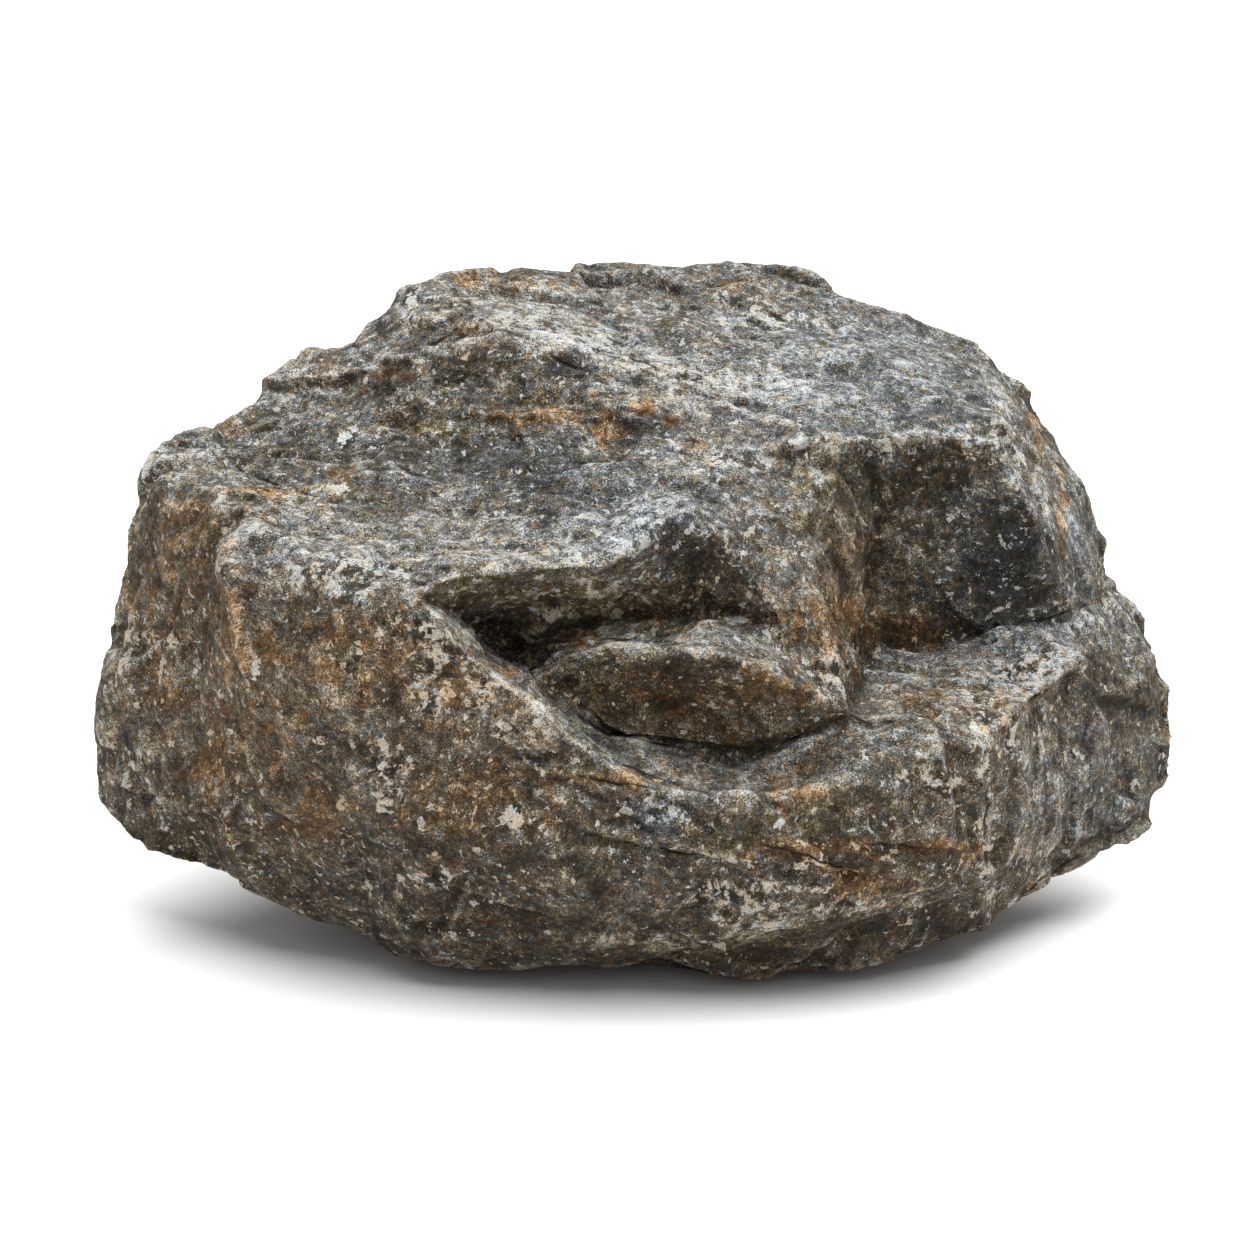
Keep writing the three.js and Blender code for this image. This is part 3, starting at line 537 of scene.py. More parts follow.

# Where the stone's colours, and some painted shade and painted light, lie on its front, each as [column, row,
# half width, half height, strength] on the front drawing. Elsewhere they follow slow swells.
stainValues = {
    "strayWide": 9.0,       # sheet steps that a stain's rim strays, and over what size in millimetres
    "straySize": 5.0,
    "straySeeds": (81, 82),
    "streakStray": 0.4,     # how much of that a band of streaks strays
    "streakTaper": (-0.01, 0.12),
    "spotEdge": 0.7,        # how fast a stain fades past its rim
    "streakApart": 9.0,     # keeps the pattern of one band of streaks from that of the next
    "unseen": {"size": 14.0, "share": 0.5, "above": (0.0, 0.6), "seed": 90},
    "rust": [
        [545, 415, 52, 15, 0.9], [610, 436, 18, 18, 1.2], [645, 405, 16, 8, 1.0], [672, 422, 12, 7, 0.7],
        [700, 438, 14, 12, 0.6], [395, 372, 18, 7, 0.7], [320, 362, 24, 9, 0.6], [228, 424, 20, 8, 0.9],
        [455, 330, 26, 9, 0.6], [470, 278, 34, 9, 0.6], [535, 285, 34, 8, 0.6], [740, 284, 26, 8, 0.5],
        [905, 632, 42, 15, 0.9], [835, 622, 38, 30, 0.8], [850, 560, 16, 42, 0.4], [190, 540, 44, 44, 0.65],
        [232, 640, 14, 54, 0.9], [165, 698, 24, 12, 0.9], [275, 650, 28, 14, 0.8], [210, 770, 18, 36, 0.9],
        [315, 820, 28, 24, 0.8], [572, 640, 32, 7, 1.0], [650, 618, 52, 15, 0.7], [770, 690, 44, 26, 0.6],
        [660, 690, 60, 26, 0.5], [330, 645, 24, 44, 0.7], [378, 660, 40, 40, 0.55], [445, 690, 30, 34, 0.55],
        [625, 778, 56, 10, 0.9], [820, 850, 60, 9, 0.9], [930, 848, 56, 6, 0.9], [860, 880, 42, 16, 0.7],
        [800, 795, 34, 22, 0.7], [700, 705, 66, 24, 0.55], [950, 700, 80, 18, 0.5], [1036, 425, 6, 34, 0.9],
        [1062, 510, 5, 44, 0.8], [170, 600, 70, 90, 0.4], [490, 680, 60, 50, 0.4], [345, 474, 12, 10, 0.8],
        [280, 492, 60, 5, 1.0], [250, 730, 60, 70, 0.5], [470, 800, 60, 50, 0.5],
    ],
    "olive": [
        [560, 600, 90, 22, 0.9], [600, 690, 40, 22, 0.8], [555, 682, 14, 12, 1.0], [170, 860, 60, 34, 0.9],
        [475, 590, 30, 13, 0.9], [425, 428, 34, 13, 0.9], [575, 785, 30, 13, 0.9], [620, 836, 26, 9, 0.9],
        [725, 840, 40, 12, 0.8], [610, 680, 36, 20, 0.7], [760, 950, 74, 18, 0.8], [200, 845, 54, 34, 0.7],
        [820, 500, 34, 64, 0.6], [870, 600, 30, 40, 0.5], [855, 820, 60, 20, 0.5], [500, 560, 60, 10, 0.5],
    ],
    # Pale spots: pale crystals and bands; the broad faint ones across the hollow and the block face below it
    # are painted light that lightens their shade.
    "pale": [
        [170, 620, 110, 130, 0.35], [500, 322, 32, 10, 1.0], [545, 326, 30, 12, 0.9],
        [600, 342, 32, 12, 0.9], [650, 362, 32, 12, 0.9], [700, 378, 40, 11, 0.8], [765, 382, 44, 12, 0.7],
        [775, 322, 50, 14, 0.9], [825, 348, 44, 12, 0.7], [720, 460, 17, 8, 1.1], [755, 463, 15, 10, 1.0],
        [800, 448, 15, 9, 1.0], [888, 448, 8, 13, 1.1], [955, 440, 16, 12, 1.0], [1000, 440, 14, 14, 0.9],
        [1016, 480, 6, 26, 0.9], [640, 525, 50, 30, 0.7], [262, 490, 44, 9, 0.9], [272, 540, 22, 8, 0.5],
        [345, 573, 60, 17, 1.0], [345, 438, 10, 8, 1.4], [335, 492, 17, 8, 1.0], [300, 390, 26, 11, 0.7],
        [410, 296, 12, 9, 1.1], [408, 313, 5, 11, 1.0], [515, 818, 10, 12, 1.5], [540, 830, 6, 6, 1.2],
        [425, 628, 13, 8, 1.0], [1030, 668, 34, 14, 0.9], [1075, 622, 44, 14, 0.8], [905, 770, 20, 12, 0.9],
        [935, 788, 32, 18, 0.9], [985, 762, 10, 32, 1.0], [988, 830, 5, 80, 1.0], [1012, 740, 10, 28, 1.0],
        [1072, 750, 13, 15, 0.9], [1086, 810, 8, 15, 0.9], [1060, 850, 15, 10, 0.8], [1115, 790, 8, 15, 0.8],
        [660, 938, 32, 7, 0.9], [745, 922, 48, 7, 0.9], [848, 905, 28, 7, 1.0], [725, 895, 62, 22, 1.0],
        [790, 880, 40, 16, 0.8], [158, 640, 36, 11, 1.1], [440, 876, 40, 8, 1.0], [1020, 672, 32, 12, 1.1],
        [980, 715, 14, 26, 1.0], [660, 815, 24, 16, 0.8], [410, 630, 22, 14, 0.9], [432, 700, 16, 22, 0.9],
        [386, 770, 20, 32, 0.9], [135, 770, 26, 28, 0.8], [356, 665, 14, 26, 0.9], [610, 425, 8, 12, 0.9],
        [252, 655, 7, 20, 1.1], [560, 606, 110, 26, 0.55], [700, 600, 60, 30, 0.35], [700, 715, 90, 18, 0.4],
        [350, 592, 34, 20, 0.9], [400, 626, 32, 24, 0.8], [440, 662, 30, 26, 0.9], [478, 700, 28, 24, 0.9],
        [504, 734, 20, 20, 0.8], [384, 768, 22, 26, 0.9], [150, 470, 20, 22, 0.7], [500, 550, 70, 14, 0.6],
        [830, 675, 20, 36, 0.8], [750, 580, 24, 50, 0.6],
    ],
    # Dark spots: partly dark stone, partly painted shade in the hollow, along cracks and on the undersides
    # along the bottom.
    "darkAndShade": [
        [700, 560, 36, 34, 0.7], [540, 645, 26, 5, 1.0], [1010, 570, 32, 50, 1.25], [955, 600, 50, 26, 0.5],
        [950, 500, 50, 40, 0.25], [935, 470, 32, 22, 0.7], [520, 480, 66, 34, 0.6], [910, 930, 74, 16, 0.9],
        [615, 733, 30, 5, 1.0], [868, 456, 6, 18, 1.0], [210, 590, 18, 60, 0.6], [640, 700, 62, 20, 0.4],
        [1090, 668, 24, 12, 0.9], [1130, 702, 44, 14, 0.7], [150, 535, 12, 42, 0.5], [570, 366, 22, 10, 1.0],
        [435, 440, 26, 8, 0.8], [300, 450, 60, 30, 0.5], [900, 640, 30, 10, 0.8], [745, 955, 60, 12, 1.0],
        [940, 918, 60, 14, 0.8], [480, 925, 60, 12, 0.6], [690, 700, 100, 40, 0.5], [430, 446, 110, 36, 0.4],
        [470, 606, 46, 16, 0.2], [640, 890, 280, 80, 0.4], [175, 845, 55, 24, 0.6], [700, 545, 44, 34, 0.4],
    ],
    # Bands of streaks: half width, strength, line.
    "streaks": [
        (14, 0.55, [[138, 470], [150, 450], [176, 442], [205, 450], [240, 482], [300, 514], [360, 545],
                   [430, 566]]),
        (22, 1.0, [[478, 312], [520, 326], [570, 344], [630, 366], [700, 388], [770, 396], [840, 384]]),
        (14, 0.8, [[440, 270], [470, 292], [520, 304], [580, 322], [620, 344]]),
        (13, 0.9, [[985, 366], [1010, 420], [1040, 480], [1075, 550], [1100, 596]]),
        (12, 0.9, [[630, 966], [700, 950], [760, 930], [820, 912], [880, 896], [934, 888]]),
        (11, 0.6, [[425, 600], [470, 640], [520, 685], [560, 728], [600, 752]]),
        (9, 0.8, [[700, 470], [745, 462], [800, 450], [860, 440], [930, 438], [1000, 436]]),
        (8, 0.8, [[984, 760], [987, 820], [989, 880], [984, 930]]),
        (14, 0.7, [[1010, 735], [1040, 690], [1075, 665], [1130, 640]]),
        (26, 0.8, [[1036, 700], [1048, 780], [1050, 840], [1024, 900]]),
        (16, 0.7, [[470, 548], [540, 560], [600, 556], [640, 530], [690, 500]]),
    ],
    # Single crystals, each a crisp pale patch: column, row, half width, half height.
    "crystals": [
        [345, 437, 8, 7], [515, 818, 8, 10], [411, 302, 5, 10], [425, 628, 6, 5], [888, 446, 5, 8],
        [540, 831, 5, 4], [468, 632, 7, 5], [256, 672, 4, 9], [338, 489, 10, 5], [384, 770, 6, 8],
    ],
    "calm": [
        [620, 905, 75, 46, 1.0], [285, 690, 60, 80, 0.8], [770, 765, 90, 40, 0.8], [1070, 790, 50, 70, 0.6],
        [160, 545, 50, 70, 0.7], [880, 375, 90, 44, 0.7], [830, 560, 60, 90, 0.6], [1120, 740, 40, 60, 0.8],
        [500, 300, 70, 14, 0.6], [680, 720, 120, 26, 0.7], [470, 520, 90, 26, 0.5], [170, 720, 60, 60, 0.5],
        [1080, 560, 24, 70, 0.7], [860, 950, 90, 26, 0.8],
    ],
    "blue": [
        [640, 520, 56, 34, 0.9], [1000, 560, 50, 66, 1.0], [1078, 545, 16, 60, 1.0],
        [880, 380, 110, 50, 0.7], [660, 815, 28, 18, 0.9], [1070, 620, 50, 20, 0.7], [270, 545, 30, 12, 0.4],
        [560, 460, 90, 36, 0.5], [1090, 780, 60, 60, 0.5],
    ],
}


def streaksAt(sheet, facing):
    # The band of streaks that each point lies in: how strongly, and its place along and across the band.
    strongest = np.zeros(len(sheet))
    flow = np.zeros((len(sheet), 3))
    for number, (width, strength, line) in enumerate(stainValues["streaks"]):
        distance, side, place = alongLine(sheet, line)
        length = np.linalg.norm(np.diff(line, axis=0), axis=1).sum()
        taper = ramp(np.minimum(place, 1 - place), *stainValues["streakTaper"])
        band = strength * np.exp(-(distance / width) ** 2) * taper
        along = place * length * stepSize
        across = side * distance * stepSize
        lies = np.stack([along, across, np.full(len(sheet), stainValues["streakApart"] * number)], axis=1)
        flow = np.where((band > strongest)[:, None], lies, flow)
        strongest = np.maximum(strongest, band)
    return strongest * facing, flow


def stainAt(sheet, spots):
    strongest = np.zeros(len(sheet))
    for column, row, halfWide, halfHigh, strength in spots:
        away = ((sheet[:, 0] - column) / halfWide) ** 2 + ((sheet[:, 1] - row) / halfHigh) ** 2
        strongest = np.maximum(strongest, strength * np.exp(-stainValues["spotEdge"] * away))
    return strongest


def crystalsAt(sheet):
    # Above 0 within a crystal, below 0 outside it.
    nearest = np.full(len(sheet), -1.0)
    for column, row, halfWide, halfHigh in stainValues["crystals"]:
        away = np.hypot((sheet[:, 0] - column) / halfWide, (sheet[:, 1] - row) / halfHigh)
        nearest = np.maximum(nearest, 1 - away)
    return nearest


def readSurface(piece):
    # Where the surface stands out at its edges (wear and painted highlight), sinks into hollows (painted
    # shade), faces up (painted light from above), or is stained, kept on its points for the material to read.
    mesh = piece.data
    points = pointsOf(mesh)
    edges = edgesOf(mesh)
    normals = normalsOf(mesh)
    wearAndHighlight = np.zeros(len(points))
    hollowShade = np.zeros(len(points))
    # Points that stand out of the surface around them are kept for paler edges, as wear and painted
    # highlight; points sunk into it are kept for painted shade in hollows.
    for scale in (wearValues["near"], wearValues["wide"]):
        height = dot(points - spread(points, edges, scale["rounds"]), normals)
        wearAndHighlight += ramp(height, *scale["heights"]) * scale["share"]
        hollowShade += ramp(-height, *scale["heights"]) * scale["share"]
    outward = spread(normals, edges, wearValues["outwardRounds"])
    outward /= np.linalg.norm(outward, axis=1)[:, None]
    facing = towardsEye(points, outward)
    stray = np.stack([swells(points, stainValues["straySize"], seed) for seed in stainValues["straySeeds"]],
                     axis=1) * stainValues["strayWide"]
    sheet = onSheet(points)
    streaked, flow = streaksAt(sheet + stainValues["streakStray"] * stray, facing)
    kept = {"wearAndHighlight": wearAndHighlight, "hollowShade": hollowShade, "topLight": ramp(outward[:, 2], *wearValues["topLight"]),
            "streaked": streaked, "flow": flow, "crack": crackLines(points, facing),
            "crystal": np.where(facing > 0, crystalsAt(sheet), -1.0)}
    unseen = stainValues["unseen"]
    for number, name in enumerate(("rust", "olive", "pale", "darkAndShade", "blue", "calm")):
        slow = swells(points, unseen["size"], unseen["seed"] + number)
        elsewhere = unseen["share"] * ramp(slow, *unseen["above"])
        kept[name] = facing * stainAt(sheet + stray, stainValues[name]) + (1 - facing) * elsewhere
    for name, values in kept.items():
        kind, field = ("FLOAT", "value") if values.ndim == 1 else ("FLOAT_VECTOR", "vector")
        layer = mesh.attributes.new(name, kind, "POINT")
        layer.data.foreach_set(field, values.astype(np.float32).ravel())


stone = mergedCopy("stone", "roughStone")
evenSkin(stone)
relieve(stone)
thinOut(stone)
keepInside(stone)
readSurface(stone)
print("relief made")

# The stone's finish. Sizes are in millimetres. Each scale of colours runs from its darkest grains to its
# palest, as a screen shows them, 0 to 255.
finishValues = {
    "stops": (0.0, 0.3, 0.46, 0.56, 0.66, 0.78, 1.0),   # how far up a scale each of its colours lies
    "greys": [(20, 19, 17), (43, 41, 37), (73, 70, 64), (100, 97, 90), (136, 134, 127), (184, 183, 177),
              (224, 223, 218)],
    "browns": [(21, 16, 11), (46, 38, 28), (79, 67, 52), (107, 94, 76), (143, 130, 111), (188, 178, 161),
               (224, 217, 203)],
    "rusts": [(27, 18, 9), (57, 41, 24), (89, 66, 41), (119, 91, 60), (152, 122, 87), (191, 165, 131),
              (224, 210, 188)],
    "olives": [(19, 16, 8), (45, 38, 22), (77, 67, 43), (105, 94, 66), (140, 130, 102), (185, 178, 157),
               (224, 219, 205)],
    "blues": [(20, 20, 21), (42, 43, 44), (71, 73, 74), (98, 101, 102), (135, 138, 140), (183, 187, 189),
              (223, 226, 227)],
    # From which value of which mask each scale takes over, and where it is alone.
    "tints": [("greys", "warmth", -0.62, -0.24), ("browns", "warmth", -0.2, 0.3),
              ("olives", "moss", 0.3, 0.75), ("rusts", "ember", 0.38, 1.1)],
    "bends": (0.06, 4.0),                   # swells to the millimetre, and how far they bend the grain
    "layerTurn": (0.34, -0.17, 0.0),        # radians
    "layerSqueeze": (1.0, 0.9, 1.0),
    "streakStretch": (0.13, 1.15, 1.0),     # how finely streaks vary along, across and between bands
    "breaking": (-0.7, 0.2),                # grain darker than the first leaves no crystal
    "crystalRim": (0.0, 0.12),
    "shine": 0.18,
    "roughness": (0.6, 0.95),
    "bumpDepth": 0.0009,                    # metres
    # The crack line is painted shade and its pale lip a painted highlight.
    "lineBreadth": (0.1, 0.36),             # half of a crack line, from black to none
    "lipBreadths": (0.25, 0.5, 0.7, 1.3),   # where its pale lip starts, is whole, starts to fade, and ends
}

# The patterns of the grain, each with its kind, the places it is read at and its own values.
patternValues = {
    "fine": ("grain", "bent", {"Size": 0.3, "Detail": 1.0, "Shift": 3.0}),
    "small": ("grain", "layered", {"Size": 1.2, "Detail": 2.0, "Shift": 11.0}),
    "grains": ("mosaic", "layered", {"Size": 1.5, "Swirl": 2.2, "Shift": 13.0}),
    "mottle": ("grain", "layered", {"Size": 6.5, "Detail": 2.0, "Shift": 19.0}),
    "rubble": ("speckle", "layered", {"Size": 3.0, "Softness": 0.022, "Detail": 2.0, "Shift": 41.0}),
    "specks": ("speckle", "bent", {"Size": 0.75, "Softness": 0.018, "Detail": 2.0, "Shift": 47.0}),
    "wisps": ("curls", "layered", {"Size": 2.6, "Thickness": 1.3, "Swirl": 1.2, "Shift": 61.0}),
    "threads": ("curls", "bent", {"Size": 1.4, "Thickness": 0.85, "Swirl": 1.8, "Shift": 67.0}),
    "drawn": ("grain", "flowing", {"Size": 1.0, "Detail": 2.0, "Shift": 71.0}),
    "warmGrain": ("grain", "bent", {"Size": 2.4, "Detail": 3.0, "Shift": 27.0}),
    "mossGrain": ("grain", "layered", {"Size": 3.4, "Detail": 2.0, "Shift": 33.0}),
}

# What each thing starts from, and how much every mask then adds to it. A pattern named here covers that much
# of the stone. The palest grain is at level 1.
gainValues = {
    "rubble": (-0.02, {"pale": 0.5, "wearAndHighlight": 0.16, "calm": -0.2, "mottle": 0.2}),
    "specks": (0.0, {"mottle": 0.14, "calm": -0.06}),
    "wisps": (0.18, {"pale": 0.26, "calm": -0.12}),
    "threads": (0.28, {"mottle": 0.22, "calm": -0.14}),
    "height": (0.0, {"fine": 0.27, "small": 0.17}),
    "pitDepth": (0.07, {"pale": 0.2}),
    "streak": (0.35, {"drawn": 0.8}),
    # In the level, worn edges are paler as wear and painted highlight, hollows darker as painted shade, faces
    # that look up lighter as painted light from above, and the dark spots partly painted shade.
    "level": (0.458, {"height": 1.0, "grains": 0.07, "mottle": 0.16, "pale": 0.1, "darkAndShade": -0.17, "calm": 0.02,
                      "wearAndHighlight": 0.1, "hollowShade": -0.07, "topLight": 0.095, "pits": -1.0, "specksPits": -0.1,
                      "streak": 0.3}),
    "broken": (0.0, {"small": 1.0, "grains": 0.5}),
    "crystals": (0.0, {"crumbs": 0.75, "specks": 0.95, "wisps": 0.8, "threads": 0.8}),
    "single": (0.0, {"crystal": 1.0, "small": 0.9}),
    "crystalLevel": (0.83, {"fine": 0.2}),
    # Crack lines darken as painted shade, and their lips lighten as painted highlight.
    "marks": (0.0, {"line": -0.5, "lip": 0.1}),
    # Faces that look up are painted cooler, as part of the painted light from above.
    "warmth": (0.14, {"warmGrain": 1.0, "rust": 0.6, "blue": -0.65, "topLight": -0.35}),
    "ember": (0.0, {"rust": 1.0, "mossGrain": -1.1, "warmth": 0.42}),
    "moss": (0.0, {"mossGrain": 1.0, "olive": 0.6}),
    "bump": (0.0, {"height": 1.0, "rubble": 0.24, "small": 0.15, "mottle": 0.15, "line": -0.5}),
}


def light(colour):
    # A screen colour as the light values that shaders use.
    return tuple(((part / 255 + 0.055) / 1.055) ** 2.4 if part > 10 else part / 3295
                 for part in colour) + (1.0,)


def addNode(tree, kind, inputs=None, **settings):
    node = tree.nodes.new(kind)
    for name, value in settings.items():
        setattr(node, name, value)
    for name, value in (inputs or {}).items():
        if isinstance(value, bpy.types.NodeSocket):
            tree.links.new(value, node.inputs[name])
        else:
            node.inputs[name].default_value = value
    return node


def sums(tree, operation, first, second=0.0, third=0.0, clamp=False):
    # One step of arithmetic on numbers.
    inputs = {0: first, 1: second, 2: third}
    return addNode(tree, "ShaderNodeMath", inputs, operation=operation, use_clamp=clamp).outputs[0]


def vectors(tree, operation, *places, **scale):
    # One step of arithmetic on places.
    inputs = {**dict(enumerate(places)), **scale}
    return addNode(tree, "ShaderNodeVectorMath", inputs, operation=operation).outputs[0]


def noise(tree, place, scale, detail, **more):
    inputs = {"Vector": place, "Scale": scale, "Detail": detail, **more}
    return addNode(tree, "ShaderNodeTexNoise", inputs).outputs


def drift(tree, place, scale):
    # Which way swells push a place, half a step at most.
    return vectors(tree, "SUBTRACT", noise(tree, place, scale, 1.0)["Color"], (0.5, 0.5, 0.5))


def gather(tree, name, masks):
    # A thing's start and all that the masks add to it.
    total, gains = gainValues[name]
    for mask, gain in gains.items():
        total = sums(tree, "MULTIPLY_ADD", masks[mask], gain, total)
    return total


def slide(tree, value, low, high):
    # 0 below low, 1 above high, smooth between.
    inputs = {"Value": value, "From Min": low, "From Max": high}
    return addNode(tree, "ShaderNodeMapRange", inputs, interpolation_type="SMOOTHSTEP").outputs["Result"]


def mix(tree, share, under, over):
    # A mix node takes its two colours in sockets 6 and 7, and gives the mixed one in socket 2.
    return addNode(tree, "ShaderNodeMix", {0: share, 6: under, 7: over}, data_type="RGBA").outputs[2]


def colourScale(tree, value, colours):
    node = addNode(tree, "ShaderNodeValToRGB", {"Fac": value})
    scale = node.color_ramp
    while len(scale.elements) < len(colours):
        scale.elements.new(0.5)
    for element, place, colour in zip(scale.elements, finishValues["stops"], colours):
        element.position = place
        element.color = light(colour)
    return node.outputs["Color"]


def newGroup(name, inputs, outputs=("Mask",)):
    # A node group with named numbers in and masks out. Its place is measured in the pattern's own size, and
    # moved so that no two patterns line up.
    tree = bpy.data.node_groups.new(name, "ShaderNodeTree")
    tree.interface.new_socket("Place", in_out="INPUT", socket_type="NodeSocketVector")
    for label, value in {"Size": 1.0, "Shift": 0.0, **inputs}.items():
        tree.interface.new_socket(label, in_out="INPUT", socket_type="NodeSocketFloat").default_value = value
    for label in outputs:
        tree.interface.new_socket(label, in_out="OUTPUT", socket_type="NodeSocketFloat")
    given = tree.nodes.new("NodeGroupInput").outputs
    scaled = vectors(tree, "SCALE", given["Place"], Scale=sums(tree, "DIVIDE", 1.0, given["Size"]))
    return tree, given, vectors(tree, "ADD", scaled, given["Shift"])


def closeGroup(tree, *masks):
    for socket, mask in zip(tree.nodes.new("NodeGroupOutput").inputs, masks):
        tree.links.new(mask, socket)
    return tree


def makeCurls():
    # Sparse curved flecks: the thin lines of a swirled pattern, cut into tapering pieces. Cover is from 0,
    # for none, to 1, for all over.
    tree, given, place = newGroup("curls", {"Cover": 0.3, "Thickness": 0.3, "Swirl": 1.0})
    line = noise(tree, place, 1.0, 1.0, Distortion=given["Swirl"])["Fac"]
    away = sums(tree, "ABSOLUTE", sums(tree, "SUBTRACT", line, 0.5))
    patch = noise(tree, vectors(tree, "ADD", place, (17.3, 5.1, 9.7)), 0.9, 1.0)["Fac"]
    limit = sums(tree, "MULTIPLY_ADD", given["Cover"], -0.4, 0.72)
    room = sums(tree, "MAXIMUM", sums(tree, "SUBTRACT", patch, limit), 0.0)
    width = sums(tree, "MULTIPLY", room, given["Thickness"])
    return closeGroup(tree, sums(tree, "MULTIPLY", sums(tree, "SUBTRACT", width, away), 45.0, clamp=True))


def makeSpeckle():
    # Ragged patches with crumbly rims, and ragged pits between them. Cover is about the share of the surface
    # that the patches take.
    inputs = {"Cover": 0.5, "Softness": 0.05, "Detail": 4.0}
    tree, given, place = newGroup("speckle", inputs, outputs=("Mask", "Pits"))
    value = noise(tree, place, 1.0, given["Detail"], Roughness=0.62)["Fac"]
    limit = sums(tree, "MULTIPLY_ADD", given["Cover"], -0.44, 0.72)
    low = sums(tree, "SUBTRACT", limit, given["Softness"])
    high = sums(tree, "ADD", limit, given["Softness"])
    over = sums(tree, "SUBTRACT", 1.0, value)
    return closeGroup(tree, slide(tree, value, low, high), slide(tree, over, low, high))


def makeGrain():
    # Even grain, -1 to 1 about.
    tree, given, place = newGroup("grain", {"Detail": 3.0, "Swirl": 0.0})
    value = noise(tree, place, 1.0, given["Detail"], Roughness=0.6, Distortion=given["Swirl"])["Fac"]
    return closeGroup(tree, sums(tree, "MULTIPLY", sums(tree, "SUBTRACT", value, 0.5), 3.0))


def makeMosaic():
    # Crisp, bent grains packed side by side, each with a tone of its own, -1 to 1.
    tree, given, place = newGroup("mosaic", {"Swirl": 0.5})
    offset = vectors(tree, "SCALE", drift(tree, place, 1.3), Scale=given["Swirl"])
    bent = vectors(tree, "ADD", place, offset)
    cells = addNode(tree, "ShaderNodeTexVoronoi", {"Vector": bent, "Scale": 1.0})
    tone = addNode(tree, "ShaderNodeSeparateXYZ", {"Vector": cells.outputs["Color"]}).outputs["X"]
    return closeGroup(tree, sums(tree, "MULTIPLY_ADD", tone, 2.0, -1.0))


groups = {"curls": makeCurls(), "speckle": makeSpeckle(), "grain": makeGrain(), "mosaic": makeMosaic()}


def kept(tree, name):
    # What was read off the surface and kept on its points.
    return addNode(tree, "ShaderNodeAttribute", attribute_name=name).outputs


def stonePlaces(tree):
    # Places in millimetres, bent by slow swells. The same, squeezed across the layers. And places along and
    # across the bands of streaks.
    finer, far = finishValues["bends"]
    point = addNode(tree, "ShaderNodeTexCoord").outputs["Object"]
    scaled = vectors(tree, "SCALE", point, Scale=1000.0)
    bent = vectors(tree, "MULTIPLY_ADD", drift(tree, scaled, finer), (far, far, far), scaled)
    layered = addNode(tree, "ShaderNodeMapping", {"Vector": bent, "Rotation": finishValues["layerTurn"],
                                                  "Scale": finishValues["layerSqueeze"]})
    flowing = addNode(tree, "ShaderNodeMapping", {"Vector": kept(tree, "flow")["Vector"],
                                                  "Scale": finishValues["streakStretch"]})
    return {"bent": bent, "layered": layered.outputs["Vector"], "flowing": flowing.outputs["Vector"]}


def addPatterns(tree, masks):
    places = stonePlaces(tree)
    for name, (kind, place, values) in patternValues.items():
        inputs = {"Place": places[place], **values}
        if name in gainValues:
            inputs["Cover"] = gather(tree, name, masks)
        outputs = addNode(tree, "ShaderNodeGroup", inputs, node_tree=groups[kind]).outputs
        masks[name] = outputs["Mask"]
        if kind == "speckle":
            masks[name + "Pits"] = outputs["Pits"]


def addGrains(tree, masks):
    # The finer grain breaks the rubble of crystals up. Its pits are darker in pale stone.
    broken = slide(tree, gather(tree, "broken", masks), *finishValues["breaking"])
    masks["crumbs"] = sums(tree, "MULTIPLY", masks["rubble"], broken)
    masks["pits"] = sums(tree, "MULTIPLY", masks["rubblePits"], gather(tree, "pitDepth", masks))
    masks["streak"] = sums(tree, "MULTIPLY", gather(tree, "streak", masks), masks["streaked"])
    masks["height"] = gather(tree, "height", masks)


def addCrackLines(tree, masks):
    # A black line along each crack, painted shade in a gap finer than the mesh, and a pale lip on one side of
    # it, a painted highlight on its edge.
    crack = addNode(tree, "ShaderNodeSeparateXYZ", {"Vector": kept(tree, "crack")["Vector"]}).outputs
    beyond = slide(tree, sums(tree, "ABSOLUTE", crack["X"]), *finishValues["lineBreadth"])
    masks["line"] = sums(tree, "MULTIPLY", sums(tree, "SUBTRACT", 1.0, beyond), crack["Y"])
    start, whole, fading, end = finishValues["lipBreadths"]
    lip = sums(tree, "SUBTRACT", slide(tree, crack["X"], start, whole), slide(tree, crack["X"], fading, end))
    masks["lip"] = sums(tree, "MULTIPLY", lip, crack["Y"])


def howPale(tree, masks):
    # How far up its scale of colours each grain lies: the matrix, with its painted light and shade, then the
    # crystals over it, then the cracks with their painted shade and pale lips.
    level = gather(tree, "level", masks)
    crystal = sums(tree, "MINIMUM", gather(tree, "crystals", masks), 1.0)
    single = slide(tree, gather(tree, "single", masks), *finishValues["crystalRim"])
    crystal = sums(tree, "MAXIMUM", crystal, single)
    gap = sums(tree, "SUBTRACT", gather(tree, "crystalLevel", masks), level)
    level = sums(tree, "MULTIPLY_ADD", gap, crystal, level)
    return sums(tree, "ADD", level, gather(tree, "marks", masks))


def tinted(tree, masks, level):
    # Two ragged patterns, pushed up or down where the stone is stained, and cooler on faces that look up as
    # painted light from above, choose between the colour scales.
    for name in ("warmth", "ember", "moss"):
        masks[name] = gather(tree, name, masks)
    colour = colourScale(tree, level, finishValues["blues"])
    for scale, mask, low, high in finishValues["tints"]:
        share = slide(tree, masks[mask], low, high)
        colour = mix(tree, share, colour, colourScale(tree, level, finishValues[scale]))
    return colour


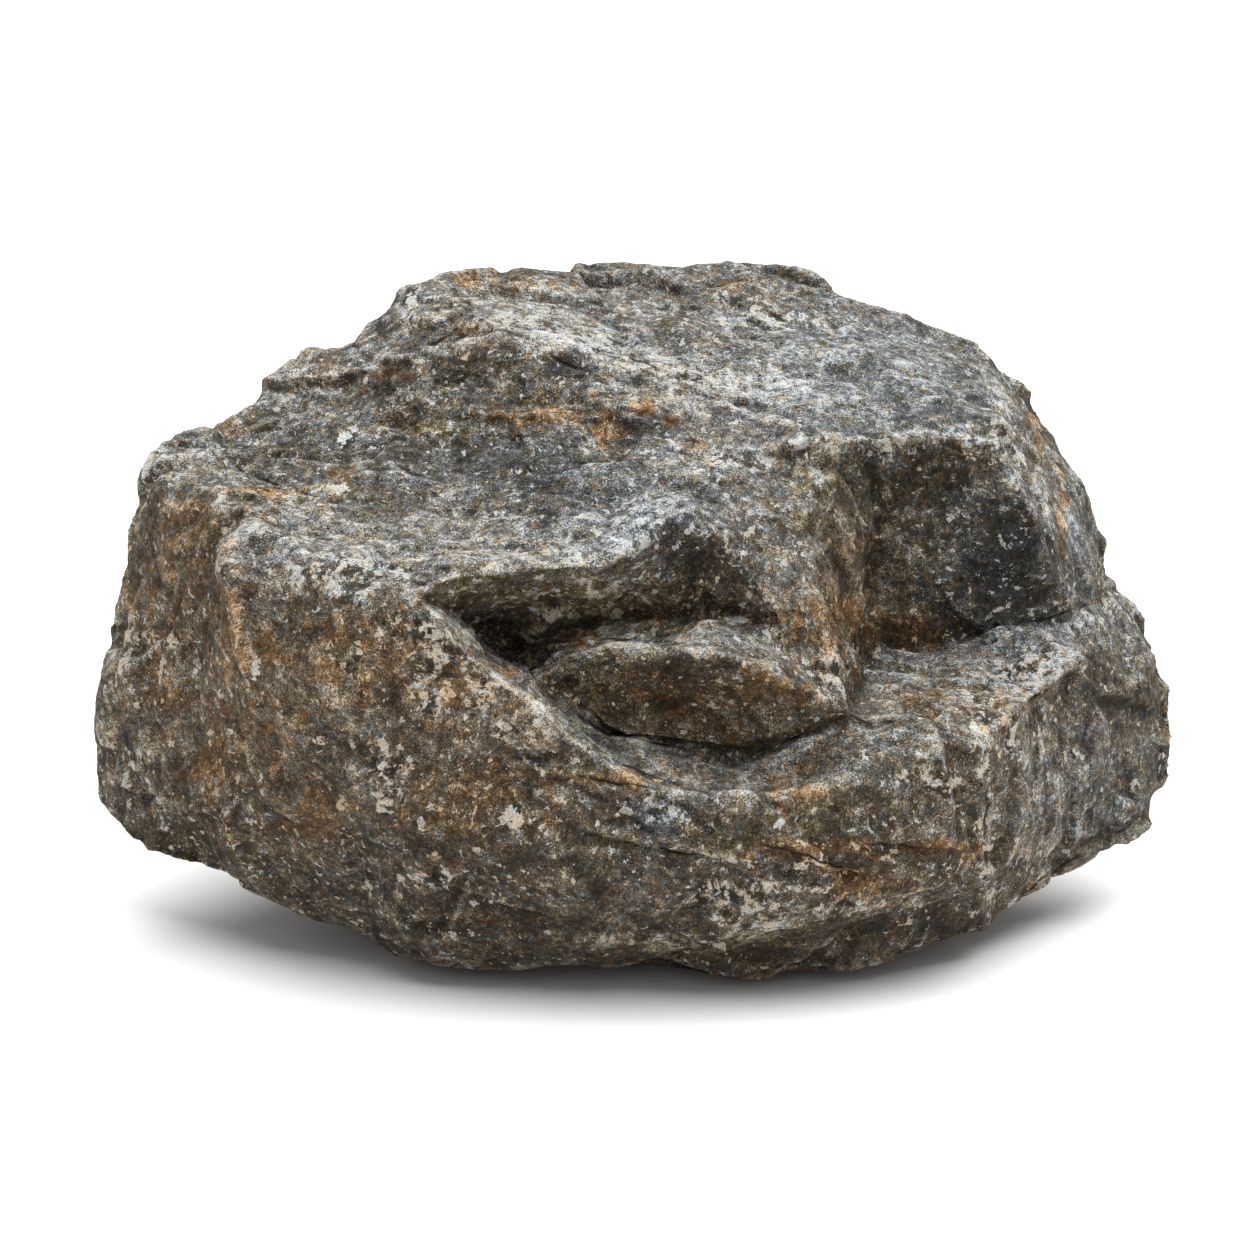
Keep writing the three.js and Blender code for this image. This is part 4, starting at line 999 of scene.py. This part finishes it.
def makeStoneFinish():
    material = bpy.data.materials.new("weatheredStone")
    material.use_nodes = True
    tree = material.node_tree
    shader = tree.nodes["Principled BSDF"]
    shader.inputs["Specular IOR Level"].default_value = finishValues["shine"]
    masks = {name: kept(tree, name)["Fac"] for name in ("wearAndHighlight", "hollowShade", "topLight", "rust", "olive", "pale",
                                                        "darkAndShade", "blue", "streaked", "crystal", "calm")}
    addPatterns(tree, masks)
    addGrains(tree, masks)
    addCrackLines(tree, masks)
    tree.links.new(tinted(tree, masks, howPale(tree, masks)), shader.inputs["Base Color"])
    bump = addNode(tree, "ShaderNodeBump", {"Strength": 1.0, "Distance": finishValues["bumpDepth"],
                                            "Height": gather(tree, "bump", masks)})
    tree.links.new(bump.outputs["Normal"], shader.inputs["Normal"])
    low, high = finishValues["roughness"]
    rough = addNode(tree, "ShaderNodeMapRange", {"Value": masks["fine"], "From Min": -0.5, "From Max": 0.5,
                                                 "To Min": low, "To Max": high}).outputs["Result"]
    tree.links.new(rough, shader.inputs["Roughness"])
    return material


stone.data.materials.clear()
stone.data.materials.append(makeStoneFinish())
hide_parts("stone")
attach(stone, "root")
print("finish made")

# The floor and the light.
studioValues = {
    "floorSide": 8.0,
    "floorTone": 0.87,
    "worldStrength": 0.44,
    "sunStrength": 5.6,
    "sunSpread": 74.0,       # degrees across the sun, for soft shadows
    "sunLean": (3.0, 7.0),   # degrees from straight above: towards the back, and towards the right
}


def makeFloor():
    half = studioValues["floorSide"] / 2
    corners = [(-half, -half, 0), (half, -half, 0), (half, half, 0), (-half, half, 0)]
    mesh = bpy.data.meshes.new("floor")
    mesh.from_pydata(corners, [], [(0, 1, 2, 3)])
    floor = bpy.data.objects.new("floor", mesh)
    bpy.context.collection.objects.link(floor)
    paper = bpy.data.materials.new("paper")
    paper.use_nodes = True
    shader = paper.node_tree.nodes["Principled BSDF"]
    shade = studioValues["floorTone"]
    shader.inputs["Base Color"].default_value = (shade, shade, shade, 1)
    shader.inputs["Roughness"].default_value = 1.0
    shader.inputs["Specular IOR Level"].default_value = 0.0
    mesh.materials.append(paper)


def makeLight():
    world = bpy.data.worlds.new("studio")
    world.use_nodes = True
    bpy.context.scene.world = world
    sky = world.node_tree.nodes["Background"]
    sky.inputs["Color"].default_value = (1, 1, 1, 1)
    sky.inputs["Strength"].default_value = studioValues["worldStrength"]
    lamp = bpy.data.lights.new("overhead", "SUN")
    lamp.angle = math.radians(studioValues["sunSpread"])
    lamp.energy = studioValues["sunStrength"]
    overhead = bpy.data.objects.new("overhead", lamp)
    back, right = (math.radians(lean) for lean in studioValues["sunLean"])
    overhead.location = (0, 0, 1)
    overhead.rotation_euler = (-back, right, 0)
    bpy.context.collection.objects.link(overhead)


makeFloor()
makeLight()
bpy.context.scene.view_settings.view_transform = "Standard"
print("studio lit")
